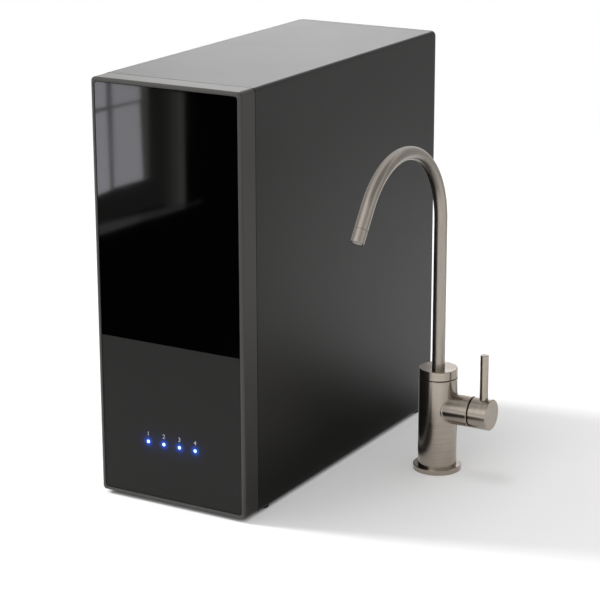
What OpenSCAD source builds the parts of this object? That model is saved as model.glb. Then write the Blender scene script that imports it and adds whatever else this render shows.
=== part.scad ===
// Tankless under-sink water purifier with its dispensing faucet beside it.
// X runs to the right, Y to the back and Z up. The origin lies on the floor,
// in the middle of the footprint that the purifier and the faucet share.

/* [Case] */
// Width of the case
case_w = 160.3; // [152:0.1:170]
// Depth of the case, front face to back face
case_d = 376; // [365:1:400]
// Height of the case without its feet
case_h = 400; // [394:1:420]
// Wall of the folded casing
shell_wall = 2; // [1.5:0.1:2.4]
// Outside radius of the casing's long edges
shell_edge_r = 3; // [2.6:0.1:5]
// Height of the feet, which is the gap under the case
foot_h = 3; // [1:0.5:5]
// Radius of a foot
foot_r = 7; // [5:0.5:8]
// Thickness of the rear panel
rear_t = 3; // [2:0.5:4]
// Corner radius of the rear panel
rear_corner_r = 5; // [3:0.5:8]

/* [Front cover] */
// Depth of the cover from the front face to the seam
cover_d = 24; // [22:1:30]
// Seam between the cover and the casing
seam = 0.8; // [0.4:0.1:1]
// Width of the bezel's front land
land_w = 3.7; // [3:0.1:5]
// Outside corner radius of the bezel
bezel_r = 4; // [3.5:0.5:6]
// Rounding of the bezel's outer front edge
bezel_round = 2.8; // [1:0.1:2.8]
// Chamfer of the bezel's inner front edge
bezel_bevel = 0.4; // [0.2:0.1:0.6]
// Depth of the front panels below the bezel's face
panel_inset = 0.8; // [0.4:0.1:1.2]
// Thickness of the front panels
panel_t = 3; // [2.5:0.1:4]
// Gap round the front panels
panel_gap = 0.6; // [0.3:0.1:1]
// Height of the line where the glass meets the display panel
split_z = 156.0; // [140:0.5:170]
// Distance between neighbouring indicators
led_pitch = 17.4; // [14:0.1:20]
// Height of the indicators
led_z = 58.1; // [50:0.1:66]
// Radius of an indicator lens
led_r = 1.6; // [1.2:0.1:2.2]
// Radius of the studs that clip the cover on
stud_r = 2.4; // [2:0.1:3]

/* [Filters] */
// Radius of the membrane cartridge
membrane_r = 54; // [50:0.5:55]
// Radius of the two smaller cartridges
small_r = 32; // [28:0.5:33]
// Space between the two rows of cartridges
row_gap = 12; // [10:0.5:16]
// Space between the two smaller cartridges
pair_gap = 5; // [4:0.5:8]
// Radius of a cartridge's neck
neck_r = 14; // [12:0.5:15]
// Length of a cartridge's neck
neck_l = 24; // [22:1:28]

/* [Pump] */
// Radius of the motor
motor_r = 36; // [32:0.5:40]
// Length of the motor
motor_l = 104; // [96:1:112]
// Side of the square pump head
head_w = 80; // [74:1:84]
// Length of the pump head
head_l = 52; // [48:1:56]
// Radius of the motor's shaft
shaft_r = 4; // [3:0.5:5]

/* [Water connections] */
// Outside radius of the feed and pure water tube
tube_r = 4.76; // [4:0.01:5]
// Outside radius of the drain tube
drain_tube_r = 3.18; // [3:0.01:4]
// How far the rear connectors stand out
port_reach = 12; // [10:0.5:16]
// Height of the rear connectors
port_z = 70; // [60:1:80]
// Distance between the pump's two connections
lane = 24; // [23:0.5:25]
// Radius of the hole for the mains lead
gland_r = 3.4; // [3:0.1:4]

/* [Faucet] */
// Distance from the side of the case to the faucet's axis
faucet_gap = 87.7; // [80:0.1:120]
// Distance from the front face back to the faucet's axis
faucet_back = 218.4; // [200:0.1:240]
// Radius of the base flange
flange_r = 23.7; // [22:0.1:30]
// Thickness of the base flange
flange_t = 5; // [4:0.5:7]
// Radius of the column
column_r = 19; // [18:0.1:21]
// Height of the swivel seam above the floor
swivel_z = 94.3; // [90:0.1:110]
// Gap at the swivel seam
groove = 0.6; // [0.4:0.1:1]
// Height of the swivel collar
collar_h = 9; // [7:0.5:12]
// Outside radius of the spout tube
spout_r = 6.35; // [6:0.05:7]
// Wall of the spout tube
spout_wall = 1.2; // [1:0.1:1.6]
// Radius of the arch at the tube's centre line
arch_r = 80.3; // [70:0.1:84]
// Height of the arch's centre above the floor
arch_z = 250.8; // [230:0.1:270]
// Angle through which the arch bends
arch_angle = 145.8; // [140:0.1:170]
// Straight length of the tube after the arch
outlet_l = 22; // [18:0.5:30]
// Length of the aerator
aerator_l = 13; // [10:0.5:16]
// Height of the lever barrel's axis above the floor
barrel_z = 64.3; // [60:0.1:68]
// Radius of the lever barrel
barrel_r = 15.3; // [14.6:0.1:16]
// Distance from the faucet's axis to the lever's seam
barrel_reach = 37.3; // [34:0.1:42]
// Gap at the lever's seam
lever_gap = 1.5; // [1:0.1:2]
// Length of the lever hub
hub_l = 19.2; // [19:0.1:24]
// Radius of the lever rod
rod_r = 4.1; // [3:0.1:4.5]
// Height of the rod's end above the barrel's axis
rod_reach = 59.7; // [45:0.1:80]
// Radius of the threaded socket under the faucet
socket_r = 6; // [5:0.5:8]

/* [Hidden] */
$fn = 72;

// Colours, as the photograph shows them
black = "#2b2a29";
casing_grey = "#3a3937";
bezel_grey = "#4c4a46";
glass_black = "#060606";
steel = "#8f867d";
inner_white = "#d9dbdc";
inner_blue = "#3f6f9f";
rubber_black = "#1a1a1a";
board_green = "#1f5a3a";
metal_grey = "#9a9da0";
brass = "#b08a4a";

// Clearances
fit_gap = 0.1;
run_gap = 0.05;
slip_gap = 0.3;

// Where the case and the faucet stand
hub_gap_x = barrel_reach + lever_gap;
hub_end = hub_gap_x + hub_l;
case_left = -(case_w + faucet_gap + hub_end) / 2;
case_mid_x = case_left + case_w / 2;
front_y = -(case_d + port_reach) / 2;
faucet_x = case_left + case_w + faucet_gap;
faucet_y = front_y + faucet_back;

// Casing
shell_front = cover_d + seam;
shell_back = case_d - rear_t;
inner_half = case_w / 2 - shell_wall;
inner_top = case_h - shell_wall;
flange_w = 17;
foot_x = case_w / 2 - 9;
foot_inset = 20;
foot_stem_r = 3;
pan_t = 1.5;
pan_top = shell_wall + pan_t;
pan_rim_h = 9;
screw_r = 1.5;
tab = 14;
screw_x = case_w / 2 - shell_wall - tab / 2;
screw_zs = [24, case_h / 2, case_h - 24];

// Front cover
open_w = case_w - 2 * land_w;
lip_d = 7;
skirt_wall = 2.2;
plate_front = panel_inset + panel_t;
plate_t = 2.5;
plate_back = plate_front + plate_t;
panel_r = 2.5;
open_r = panel_r + panel_gap;
plate_r = open_r - fit_gap;
join_gap = 0.3;
led_xs = [for (i = [-1.5 : 1 : 1.5]) i * led_pitch];
stud_in = 10;
stud_xs = [-case_w / 2 + stud_in, case_w / 2 - stud_in];
stud_zs = [stud_in + 2, case_h - stud_in - 2];

// Bulkhead behind the cover
bulk_rim = 7;
bulk_y = shell_front + bulk_rim + 1;
bulk_t = 3;
bulk_back = bulk_y + bulk_t;
rim_t = 2;
board_gap = 12;
board_y = bulk_y - board_gap;
board_t = 1.6;
light_board = [84, 24];
board_in = 8;
board_post_r = 3;
led_h = 1.4;
led_w = 3.5;
led_d = 2.8;

// Cartridges
cap_lip = 2;
cap_t = 2.4;
hole_gap = 0.8;
membrane_z = case_h - membrane_r - 10;
small_z = membrane_z - membrane_r - row_gap - small_r;
small_x = small_r + pair_gap / 2;
shelf_drop = 5;
shelf_top = small_z - small_r - shelf_drop;
shelf_t = 2;
shelf_side = 14;
shelf_back = 4;
rest_w = 44;
rest_t = 4;
rest_h = 16;
rest_in = 30;
socket_wall = 6.5;
socket_floor = 4;
manifold_t = 8;
manifold_r = 12;
manifold_y = case_d - 44;
manifold_back = manifold_y + manifold_t;
cart_back = manifold_y - socket_floor - neck_l - 1;
dome = 10;
lug_out = 3;
lug_w = 7;
lug_t = 5;
lug_y = cart_back + 9;
seal_ys = [cart_back + 16.5, cart_back + 20.5];
grip_h = 16;
grip_t = 9;
grip_in = 8;
seal_w = 2.6;
seal_d = 1.6;
seal_r = 0.8;

// Rear connectors
collet_lip = 3;
collet_t = 1.4;
collet_travel = 1.5;
port_inner = 18;
port_body_r = tube_r + collet_lip + 1.4;
port_flange_out = 2.5;
port_flange_t = 3;
port_nut_out = 3.5;
port_nut_t = 5;
nut_gap = 2;
tube_seat = 14;
pocket = 6;
stop_wall = 1.6;
gland_wall = 3;
gland_nut_out = 5.5;
gland_nut_t = 4;
gland_cap_l = 3;

// Water lanes: the feed at the left wall, the pump's pair, the drain and pure water on the right
wall_to_lane = 16.5;
wall_to_pump = 12.5;
pump_x = -inner_half + wall_to_pump + head_w / 2;
feed_x = -inner_half + wall_to_lane;
pump_in_x = pump_x - lane / 2;
pump_out_x = pump_x + lane / 2;
pure_x = inner_half - wall_to_lane;
drain_x = pure_x - 2 * (port_body_r + port_nut_out) * cos(30) - nut_gap;
gland_x = (drain_x + pure_x) / 2;
gland_drop = 30;
gland_z = port_z - gland_drop;
riser_xs = [feed_x, pump_in_x, pump_out_x, drain_x, pure_x];
riser_y = manifold_y + manifold_t / 2;
rail_h = 12;
rail_lip = 2;
rail_end = 8;
rail_drop = 10;
rail_z = small_z - neck_r - socket_wall - rail_drop;
post_r = 5;
post_up = 60;
post_low = 12;
post_places = [[-small_x, small_z + post_up], [small_x, small_z + post_up],
    [-small_x, rail_z + post_low], [small_x, rail_z + post_low]];
nipple_l = 8;
inner_tube_r = 4.75;
inner_bore_r = 3.2;
nipple_r = inner_bore_r - fit_gap;
nipple_bore = 2;
valve_w = 22;
valve_side = 1;
valve_low = 11;
valve_h = 24;
valve_up = 12;
valve_top = port_z + valve_h - valve_low;
coil_r = 10.5;
coil_l = 26;
blade = [6, 3, 10];
sensor_r = 10;
sensor_h = 6;
bend_r = 12;
join = 0.3;
lap = 0.5;
lap_step = 0.01;
sliver = 0.01;

// Pump, low on the left behind the bulkhead
pump_lift = 12;
pump_z = pan_top + pump_lift + head_w / 2;
wall_to_motor = 26;
motor_y = bulk_back + wall_to_motor;
head_y = motor_y + motor_l;
head_back = head_y + head_l;
can_wall = 2;
bearing_r = 11;
bearing_t = 7;
bearing_rim = 3;
bearing_ys = [motor_y + can_wall, head_y - can_wall - bearing_t];
can_gap = 7;
armature_r = motor_r - can_wall - can_gap;
armature_in = 22;
armature_l = motor_l - 2 * armature_in;
winding_w = 4;
winding_d = 9;
swash_r = 15;
swash_l = 14;
swash_in = 2;
crank_r = 24;
crank_l = 20;
head_r = 10;
cap_l = 8;
cap_in = 6;
nipple_up = 14;
nipple_d = 12;
bracket_t = 2;
bracket_in = 8;
bracket_out = 7;
bracket_front = 18;
bracket_back = 14;
bracket_end = 9;
saddle_w = 56;
saddle_h = 26;
saddle_in = 10;
saddle_back = 66;
seat_in = 12;
seat_front = 4;
seat_back = 14;
bracket_xs = [pump_x - head_w / 2 + bracket_in, pump_x + head_w / 2 - bracket_in];
bracket_ys = [motor_y + bracket_front, head_back - bracket_back];
mount_h = 8;
mount_r = 6;
mount_waist = 1.5;
mount_bore = 2;
mount_hole = 2.2;
supply_gap = 8;
supply_side = 5;
supply_x = pump_x + head_w / 2 + supply_gap;
supply_w = inner_half - supply_side - supply_x;
supply_l = 120;
supply_h = 62;
rib_in = 12;
rib_pitch = 10;
rib_w = 4;
rib_d = 2;

// Faucet
edge = 0.5;
rim = 0.7;
collar_z = swivel_z + groove;
collar_top = collar_z + collar_h;
stem_r = 9.35;
stem_l = 15;
spout_in = 14;
chamber_r = 11;
channel_r = 3.5;
spindle_r = 4;
gasket_r = flange_r - 3;
hub_cup_r = 12.2;
hub_cup_l = 8;
arch_end = [-arch_r * (1 - cos(arch_angle)), arch_z + arch_r * sin(arch_angle)];
aerator_r = spout_r;
aerator_seam = 0.3;
aerator_lip = 1.2;
aerator_bore_r = 2.6;
aerator_plug_l = 6;
rod_in = 10.5;

// A rectangle on the XY plane with its own radius at the lower and upper corners
module plate_outline(w, z0, z1, r_low, r_high) {
    translate([-w / 2, z0 + r_low]) square([w, z1 - z0 - r_low - r_high]);
    translate([-w / 2 + r_low, z0]) square([w - 2 * r_low, r_low + 0.01]);
    translate([-w / 2 + r_high, z1 - r_high - 0.01]) square([w - 2 * r_high, r_high + 0.01]);
    for (s = [-1, 1]) {
        translate([s * (w / 2 - r_low), z0 + r_low]) circle(r_low);
        translate([s * (w / 2 - r_high), z1 - r_high]) circle(r_high);
    }
}

// Stands an outline upright and gives it the depth from y0 to y1
module along_y(y0, y1) {
    translate([0, y1, 0]) rotate([90, 0, 0]) linear_extrude(y1 - y0) children();
}

// A round bar along Y
module bar_y(r, y0, y1) {
    translate([0, y0, 0]) rotate([-90, 0, 0]) cylinder(r = r, h = y1 - y0);
}

// A round bar along X
module bar_x(r, x0, x1) {
    translate([x0, 0, 0]) rotate([0, 90, 0]) cylinder(r = r, h = x1 - x0);
}

// A hexagon nut's outline along Y, with a corner at the top
module hex_y(r, y0, y1) {
    translate([0, y0, 0]) rotate([-90, 30, 0]) cylinder(r = r, h = y1 - y0, $fn = 6);
}

// A ring along Z with an outer radius and a bore
module ring(r, bore, h) {
    difference() {
        cylinder(r = r, h = h);
        translate([0, 0, -1]) cylinder(r = bore, h = h + 2);
    }
}

// The case's own frame: its front face at Y 0, its lower edge at Z 0
module in_case() {
    translate([case_mid_x, front_y, foot_h]) children();
}

// The faucet's own frame: its axis on Z, its foot on the floor
module at_faucet() {
    translate([faucet_x, faucet_y, 0]) children();
}

// Casing: top, two sides and two flanges turned in under the case, with screw tabs at the back
module case_shell() {
    color(casing_grey) in_case() difference() {
        union() {
            along_y(shell_front, shell_back) difference() {
                plate_outline(case_w, 0, case_h, shell_edge_r, shell_edge_r);
                plate_outline(2 * inner_half, shell_wall, inner_top,
                    shell_edge_r - shell_wall, shell_edge_r - shell_wall);
                translate([-case_w / 2 + flange_w, -1])
                    square([case_w - 2 * flange_w, shell_wall + 2]);
            }
            for (s = [-1, 1], z = screw_zs)
                translate([s * (inner_half - tab / 2 + 0.5) - tab / 2 - 0.5,
                    shell_back - shell_wall, z - tab / 2])
                    cube([tab + 1, shell_wall, tab]);
        }
        for (s = [-1, 1], z = screw_zs)
            translate([s * screw_x, 0, z]) bar_y(screw_r + run_gap, shell_back - 10, shell_back + 1);
        for (s = [-1, 1], y = [shell_front + foot_inset, shell_back - foot_inset])
            translate([s * foot_x, y, -1]) cylinder(r = foot_stem_r + fit_gap, h = shell_wall + 2);
    }
}

// Base pan on the casing's flanges, turned up at its front and back
module base_pan() {
    pan_front = shell_front + 2;
    pan_back = shell_back - shell_wall - 1;
    half = inner_half - (shell_edge_r - shell_wall) - fit_gap;
    color(metal_grey) in_case() difference() {
        union() {
            translate([-half, pan_front, shell_wall]) cube([2 * half, pan_back - pan_front, pan_t]);
            for (y = [bulk_back + 0.2, pan_back - pan_t])
                translate([-half, y, shell_wall]) cube([2 * half, pan_t, pan_rim_h]);
        }
        for (s = [-1, 1], y = [shell_front + foot_inset, shell_back - foot_inset])
            translate([s * foot_x, y, 0]) cylinder(r = foot_stem_r + fit_gap, h = 20);
        for (x = bracket_xs, y = bracket_ys)
            translate([x, y, 0]) cylinder(r = mount_hole, h = pan_top + 1);
    }
}

// Four rubber feet, each with a stem and a bulb that snap through flange and pan
module feet() {
    color(rubber_black) in_case()
        for (s = [-1, 1], y = [shell_front + foot_inset, shell_back - foot_inset])
            translate([s * foot_x, y, -foot_h]) {
                cylinder(r1 = foot_r - 0.8, r2 = foot_r, h = foot_h);
                cylinder(r = foot_stem_r, h = foot_h + pan_top + 0.5);
                translate([0, 0, foot_h + pan_top + 0.2])
                    cylinder(r1 = foot_stem_r + 0.9, r2 = foot_stem_r - 1, h = 3);
            }
}

// Rear panel with its connector holes, vent slots and the posts that carry the manifold
module rear_panel() {
    slot = [46, rear_t + 2, 3.2];
    slot_x = 31;
    slot_up = 40;
    slot_pitch = 8;
    color(black) in_case() difference() {
        union() {
            along_y(shell_back, case_d)
                plate_outline(case_w, 0, case_h, rear_corner_r, rear_corner_r);
            for (p = post_places)
                translate([p[0], 0, p[1]]) bar_y(post_r, manifold_back, shell_back + lap);
        }
        for (x = [feed_x, drain_x, pure_x])
            translate([x, 0, port_z]) bar_y(port_body_r + fit_gap, shell_back - 1, case_d + 1);
        translate([gland_x, 0, gland_z])
            bar_y(gland_r + gland_wall + fit_gap, shell_back - 1, case_d + 1);
        for (s = [-1, 1], z = screw_zs)
            translate([s * screw_x, 0, z]) bar_y(screw_r + 0.2, shell_back - 1, case_d + 1);
        for (s = [-1, 1], i = [0 : 7])
            translate([s * slot_x - slot[0] / 2, shell_back - 1,
                port_z + slot_up + i * slot_pitch - slot[2] / 2]) cube(slot);
    }
}

// Six pan-head screws that hold the rear panel on the casing's tabs
module rear_screws() {
    color(metal_grey) in_case()
        for (s = [-1, 1], z = screw_zs)
            translate([s * screw_x, 0, z]) difference() {
                union() {
                    bar_y(screw_r, shell_back - 7, case_d + 0.5);
                    translate([0, case_d, 0]) rotate([-90, 0, 0])
                        cylinder(r1 = screw_r + 1.6, r2 = screw_r + 1, h = 1.6);
                }
                for (a = [0, 90])
                    rotate([0, a, 0]) translate([-1.3, case_d + 0.7, -0.3]) cube([2.6, 1, 0.6]);
            }
}

// Bulkhead behind the cover: it holds the cartridges' fronts, the clip sockets and the board
module front_bulkhead() {
    half = inner_half - 0.2;
    low = pan_top + 0.2;
    top = inner_top - 0.2;
    color(inner_white) in_case() difference() {
        union() {
            along_y(bulk_y, bulk_back) plate_outline(2 * half, low, top, 0.5, 0.8);
            along_y(shell_front + 1, bulk_y + 0.5) difference() {
                plate_outline(2 * half, low, top, 0.5, 0.8);
                plate_outline(2 * (half - rim_t), low + rim_t, top - rim_t, 0.5, 0.8);
            }
            for (x = stud_xs, z = stud_zs)
                translate([x, 0, z]) bar_y(stud_r + 2, shell_front + 2, bulk_y + 0.5);
            for (s = [-1, 1])
                translate([s * (light_board[0] / 2 - board_in), 0, led_z])
                    bar_y(board_post_r, board_y + board_t, bulk_y + lap);
        }
        translate([0, 0, membrane_z]) bar_y(membrane_r + hole_gap, bulk_y - 1, bulk_back + 1);
        for (s = [-1, 1])
            translate([s * small_x, 0, small_z]) bar_y(small_r + hole_gap, bulk_y - 1, bulk_back + 1);
        for (x = stud_xs, z = stud_zs)
            translate([x, 0, z]) bar_y(stud_r + fit_gap, shell_front, bulk_back + 1);
    }
}

// Display board on two posts, with one light source behind each lens
module display_board() {
    color(board_green) in_case() {
        difference() {
            translate([-light_board[0] / 2, board_y, led_z - light_board[1] / 2])
                cube([light_board[0], board_t, light_board[1]]);
            for (s = [-1, 1])
                translate([s * (light_board[0] / 2 - board_in), 0, led_z - board_in])
                    bar_y(1, board_y - 1, board_y + board_t + 1);
        }
        for (x = led_xs)
            translate([x - led_w / 2, board_y - led_h, led_z - led_d / 2])
                cube([led_w, led_h + 0.1, led_d]);
    }
}

// Shelf under the smaller cartridges, with a saddle at each end
module filter_shelf() {
    half = inner_half - slip_gap;
    y0 = bulk_back + 0.2;
    y1 = cart_back - dome - shelf_back;
    color(inner_white) in_case() difference() {
        union() {
            translate([-half, y0, shelf_top - shelf_t]) cube([2 * half, y1 - y0, shelf_t]);
            for (y = [y0 + rest_in, y1 - rest_in], s = [-1, 1])
                translate([s * small_x - rest_w / 2, y, shelf_top - 0.1]) cube([rest_w, rest_t, rest_h]);
            for (s = [-1, 1])
                translate([s * (half - shelf_t / 2) - shelf_t / 2, y0, shelf_top - shelf_side])
                    cube([shelf_t, y1 - y0, shelf_side]);
        }
        for (s = [-1, 1])
            translate([s * small_x, 0, small_z]) bar_y(small_r + slip_gap, y0, y1);
    }
}

// Manifold: three bayonet sockets on one plate, and a rail of tube nipples under it
module manifold() {
    cup = neck_r + socket_wall;
    places = [[0, membrane_z], [-small_x, small_z], [small_x, small_z]];
    color(inner_white) in_case() difference() {
        union() {
            along_y(manifold_y, manifold_back)
                plate_outline(2 * (small_x + cup), rail_z, membrane_z + cup, 3, manifold_r);
            for (p = places)
                translate([p[0], 0, p[1]])
                    bar_y(cup, manifold_y - socket_floor - neck_l, manifold_y + 0.5);
            translate([feed_x - rail_end, manifold_y - rail_lip, rail_z - rail_h + rail_lip])
                cube([pure_x - feed_x + 2 * rail_end, manifold_t + 2 * rail_lip, rail_h]);
            for (x = riser_xs)
                translate([x, riser_y, rail_z - rail_h + rail_lip - nipple_l])
                    cylinder(r = nipple_r, h = nipple_l + 1);
        }
        for (p = places)
            translate([p[0], 0, p[1]]) {
                bar_y(neck_r + fit_gap, cart_back - 1, manifold_y - socket_floor + 1);
                bar_y(norm([neck_r + lug_out, lug_w / 2]) + slip_gap,
                    lug_y - slip_gap, lug_y + lug_t + slip_gap);
                for (s = [-1, 1])
                    translate([-lug_w / 2 - slip_gap, cart_back - 1,
                        s > 0 ? neck_r - 2 : -neck_r - lug_out - slip_gap])
                        cube([lug_w + 2 * slip_gap, lug_y - cart_back + 2, lug_out + 2 + slip_gap]);
            }
        for (x = riser_xs)
            translate([x, riser_y, rail_z - rail_h - nipple_l])
                cylinder(r = nipple_bore, h = nipple_l + rail_h);
    }
}

// Cartridge: a domed body, a neck with two seal grooves and bayonet lugs, and a cap with a grip
module cartridge(r) {
    front = bulk_y - slip_gap - cap_t;
    grip_w = 2 * (r - grip_in);
    difference() {
        union() {
            rotate([-90, 0, 0]) rotate_extrude() union() {
                translate([0, front]) square([r, cart_back - dome - front]);
                translate([0, front]) square([r + cap_lip, cap_t]);
                polygon([[0, cart_back - dome - 0.1], [r, cart_back - dome - 0.1],
                    [r - dome * 0.3, cart_back - dome * 0.35], [r - dome, cart_back],
                    [0, cart_back]]);
            }
            difference() {
                bar_y(neck_r, cart_back - 1, cart_back + neck_l);
                for (y = seal_ys) difference() {
                    bar_y(neck_r + 1, y, y + seal_w);
                    bar_y(neck_r - seal_d, y - 1, y + seal_w + 1);
                }
            }
            for (s = [-1, 1])
                translate([s > 0 ? neck_r - 2 : -neck_r - lug_out, lug_y, -lug_w / 2])
                    cube([lug_out + 2, lug_t, lug_w]);
            translate([-grip_w / 2, front - grip_h, -grip_t / 2])
                cube([grip_w, grip_h + 0.5, grip_t]);
        }
        bar_y(inner_bore_r, cart_back - 2 * dome, cart_back + neck_l + 1);
    }
}

// Two sealing rings on a cartridge's neck
module neck_seals() {
    for (y = seal_ys)
        rotate([-90, 0, 0]) translate([0, 0, y + seal_w / 2])
            rotate_extrude() translate([neck_r - seal_d + seal_r + run_gap, 0]) circle(seal_r);
}

module at_membrane() in_case() translate([0, 0, membrane_z]) children();
module at_carbon() in_case() translate([-small_x, 0, small_z]) children();
module at_polish() in_case() translate([small_x, 0, small_z]) children();

module membrane_cartridge() color(inner_blue) at_membrane() cartridge(membrane_r);
module membrane_seals() color(rubber_black) at_membrane() neck_seals();
module carbon_cartridge() color(inner_blue) at_carbon() cartridge(small_r);
module carbon_seals() color(rubber_black) at_carbon() neck_seals();
module polish_cartridge() color(inner_blue) at_polish() cartridge(small_r);
module polish_seals() color(rubber_black) at_polish() neck_seals();

// Pump head: a crank chamber towards the motor and two nipples at the back
module pump_head() {
    color(inner_white) in_case() translate([pump_x, 0, pump_z]) difference() {
        union() {
            along_y(head_y, head_back - cap_l)
                plate_outline(head_w, -head_w / 2, head_w / 2, head_r, head_r);
            bar_y(head_w / 2 - cap_in, head_back - cap_l - lap, head_back);
            for (s = [-1, 1])
                translate([s * lane / 2, 0, nipple_up])
                    bar_y(nipple_r, head_back - 1, head_back + nipple_l);
        }
        bar_y(crank_r, head_y - 1, head_y + crank_l);
        for (s = [-1, 1])
            translate([s * lane / 2, 0, nipple_up])
                bar_y(nipple_bore, head_back - nipple_d, head_back + nipple_l + 1);
    }
}

// Motor can: both ends hold a bearing in a boss ring, and the shaft leaves at the back
module motor_can() {
    color(metal_grey) in_case() translate([pump_x, 0, pump_z]) difference() {
        bar_y(motor_r, motor_y, head_y);
        difference() {
            bar_y(motor_r - can_wall, motor_y + can_wall, head_y - can_wall);
            for (y = bearing_ys)
                bar_y(bearing_r + bearing_rim, y - lap, y + bearing_t + lap);
        }
        for (y = bearing_ys)
            bar_y(bearing_r + run_gap, y, y + bearing_t + (y == bearing_ys[0] ? 1 : 0));
        bar_y(bearing_r - 2, head_y - can_wall - bearing_t - 1, head_y - can_wall);
        bar_y(shaft_r + 1, head_y - can_wall - 1, head_y + 1);
    }
}

// Ball bearings at both ends of the motor's shaft
module motor_bearings() {
    color(metal_grey) in_case() translate([pump_x, 0, pump_z])
        for (y = bearing_ys)
            rotate([-90, 0, 0]) translate([0, 0, y]) ring(bearing_r, shaft_r + run_gap, bearing_t);
}

// Motor shaft with the swash hub that drives the pump's diaphragms
module motor_shaft() {
    color(metal_grey) in_case() translate([pump_x, 0, pump_z]) {
        bar_y(shaft_r, motor_y + can_wall + 1, head_y + swash_in + 1);
        difference() {
            bar_y(swash_r, head_y + swash_in, head_y + swash_in + swash_l);
            translate([0, head_y + swash_in + swash_l, 0]) rotate([-12, 0, 0])
                translate([-2 * swash_r, 0, -2 * swash_r])
                    cube([4 * swash_r, 2 * swash_r, 4 * swash_r]);
        }
    }
}

// Wound armature on the shaft, with seven slots
module motor_armature() {
    y0 = motor_y + armature_in;
    color(brass) in_case() translate([pump_x, 0, pump_z]) difference() {
        bar_y(armature_r, y0, y0 + armature_l);
        bar_y(shaft_r, y0 - 1, y0 + armature_l + 1);
        for (i = [0 : 6])
            rotate([0, i * 360 / 7, 0])
                translate([-winding_w / 2, y0 - 1, armature_r - winding_d])
                    cube([winding_w, armature_l + 2, winding_d + 3]);
    }
}

// Folded bracket that carries the pump: a plate on the mounts, a motor saddle and a head seat
module pump_bracket() {
    z0 = pan_top + mount_h;
    x0 = bracket_xs[0] - bracket_out;
    w = bracket_xs[1] - bracket_xs[0] + 2 * bracket_out;
    color(metal_grey) in_case() difference() {
        union() {
            translate([x0, bracket_ys[0] - bracket_end, z0])
                cube([w, bracket_ys[1] - bracket_ys[0] + 2 * bracket_end, bracket_t]);
            for (y = [bracket_ys[0] + saddle_in, bracket_ys[1] - saddle_back])
                translate([pump_x - saddle_w / 2, y, z0]) cube([saddle_w, bracket_t + 1, saddle_h]);
            translate([pump_x - head_w / 2 + seat_in, head_y + seat_front, z0])
                cube([head_w - 2 * seat_in, head_l - seat_front - seat_back,
                    pump_z - head_w / 2 - z0]);
        }
        translate([pump_x, 0, pump_z]) bar_y(motor_r + fit_gap, motor_y, head_y);
        for (x = bracket_xs, y = bracket_ys)
            translate([x, y, z0 - 1]) cylinder(r = mount_hole, h = bracket_t + 2);
    }
}

// Four rubber mounts, each with a waist, between the pan and the pump's bracket
module pump_mounts() {
    color(rubber_black) in_case()
        for (x = bracket_xs, y = bracket_ys)
            translate([x, y, pan_top]) {
                ring(mount_r, mount_bore, mount_h * 0.35);
                translate([0, 0, mount_h * 0.35])
                    ring(mount_r - mount_waist, mount_bore, mount_h * 0.3);
                translate([0, 0, mount_h * 0.65]) ring(mount_r, mount_bore, mount_h * 0.35);
            }
}

// Valve or sensor block behind a connector: a nipple up, a spigot into the connector
module block(x, spigot_r) {
    w = valve_w - 2 * valve_side;
    translate([x, riser_y, port_z]) {
        translate([-w / 2, -valve_w / 2, -valve_low]) cube([w, valve_w, valve_h]);
        translate([0, valve_w / 2 - 1, 0]) rotate([-90, 0, 0])
            cylinder(r = spigot_r, h = shell_back - port_inner - riser_y - valve_w / 2 + 1 + pocket);
        translate([0, 0, valve_up]) cylinder(r = nipple_r, h = nipple_l + 1);
    }
}

// Solenoid coil with its terminal blade, standing in front of a valve block
module coil(x) {
    translate([x, riser_y - valve_w / 2 - coil_l, port_z]) {
        rotate([-90, 0, 0]) cylinder(r = coil_r, h = coil_l + 1);
        translate(-blade / 2) cube(blade);
    }
}

module inlet_valve() color(inner_white) in_case() {
    block(feed_x, waterway_r(tube_r));
    coil(feed_x);
}

module flush_valve() color(inner_white) in_case() {
    block(drain_x, waterway_r(drain_tube_r));
    coil(drain_x);
}

module flow_sensor() color(inner_blue) in_case() {
    block(pure_x, waterway_r(tube_r));
    translate([pure_x, riser_y, port_z - valve_low - sensor_h])
        cylinder(r = sensor_r, h = sensor_h + 1);
}

// Bar through points that turn square corners; straight runs reach into the bends by a small lap,
// a hair thinner there, so that bends and runs become one solid
module pipe(points, r) {
    last = len(points) - 1;
    for (i = [0 : last - 1]) {
        a = points[i];
        b = points[i + 1];
        d = (b - a) / norm(b - a);
        start = a + (i > 0 ? bend_r - lap : 0) * d;
        end = b - (i < last - 1 ? bend_r - lap : 0) * d;
        translate(start)
            rotate([0, acos(d[2]), d[0] == 0 && d[1] == 0 ? 0 : atan2(d[1], d[0])])
                cylinder(r = r - (last > 1 ? lap_step : 0), h = norm(end - start));
    }
    for (i = [1 : 1 : last - 1]) {
        u = (points[i] - points[i - 1]) / norm(points[i] - points[i - 1]);
        v = (points[i + 1] - points[i]) / norm(points[i + 1] - points[i]);
        c = points[i] - bend_r * u + bend_r * v;
        w = cross(-v, u);
        multmatrix([[-v[0], u[0], w[0], c[0]], [-v[1], u[1], w[1], c[1]],
            [-v[2], u[2], w[2], c[2]], [0, 0, 0, 1]])
            rotate_extrude(angle = 90) translate([bend_r, 0]) circle(r);
    }
}

module tube(points) {
    color(inner_white) in_case() difference() {
        pipe(points, inner_tube_r);
        pipe(points, inner_bore_r);
    }
}

riser_top = rail_z - rail_h + rail_lip - join;
function riser(x) = [[x, riser_y, riser_top], [x, riser_y, valve_top + join]];
function pump_line(x) = let (z = pump_z + nipple_up)
    [[x, riser_y, riser_top], [x, riser_y, z], [x, head_back + join, z]];

module feed_riser() tube(riser(feed_x));
module drain_riser() tube(riser(drain_x));
module pure_riser() tube(riser(pure_x));
module pump_inlet_tube() tube(pump_line(pump_in_x));
module pump_outlet_tube() tube(pump_line(pump_out_x));

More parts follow.
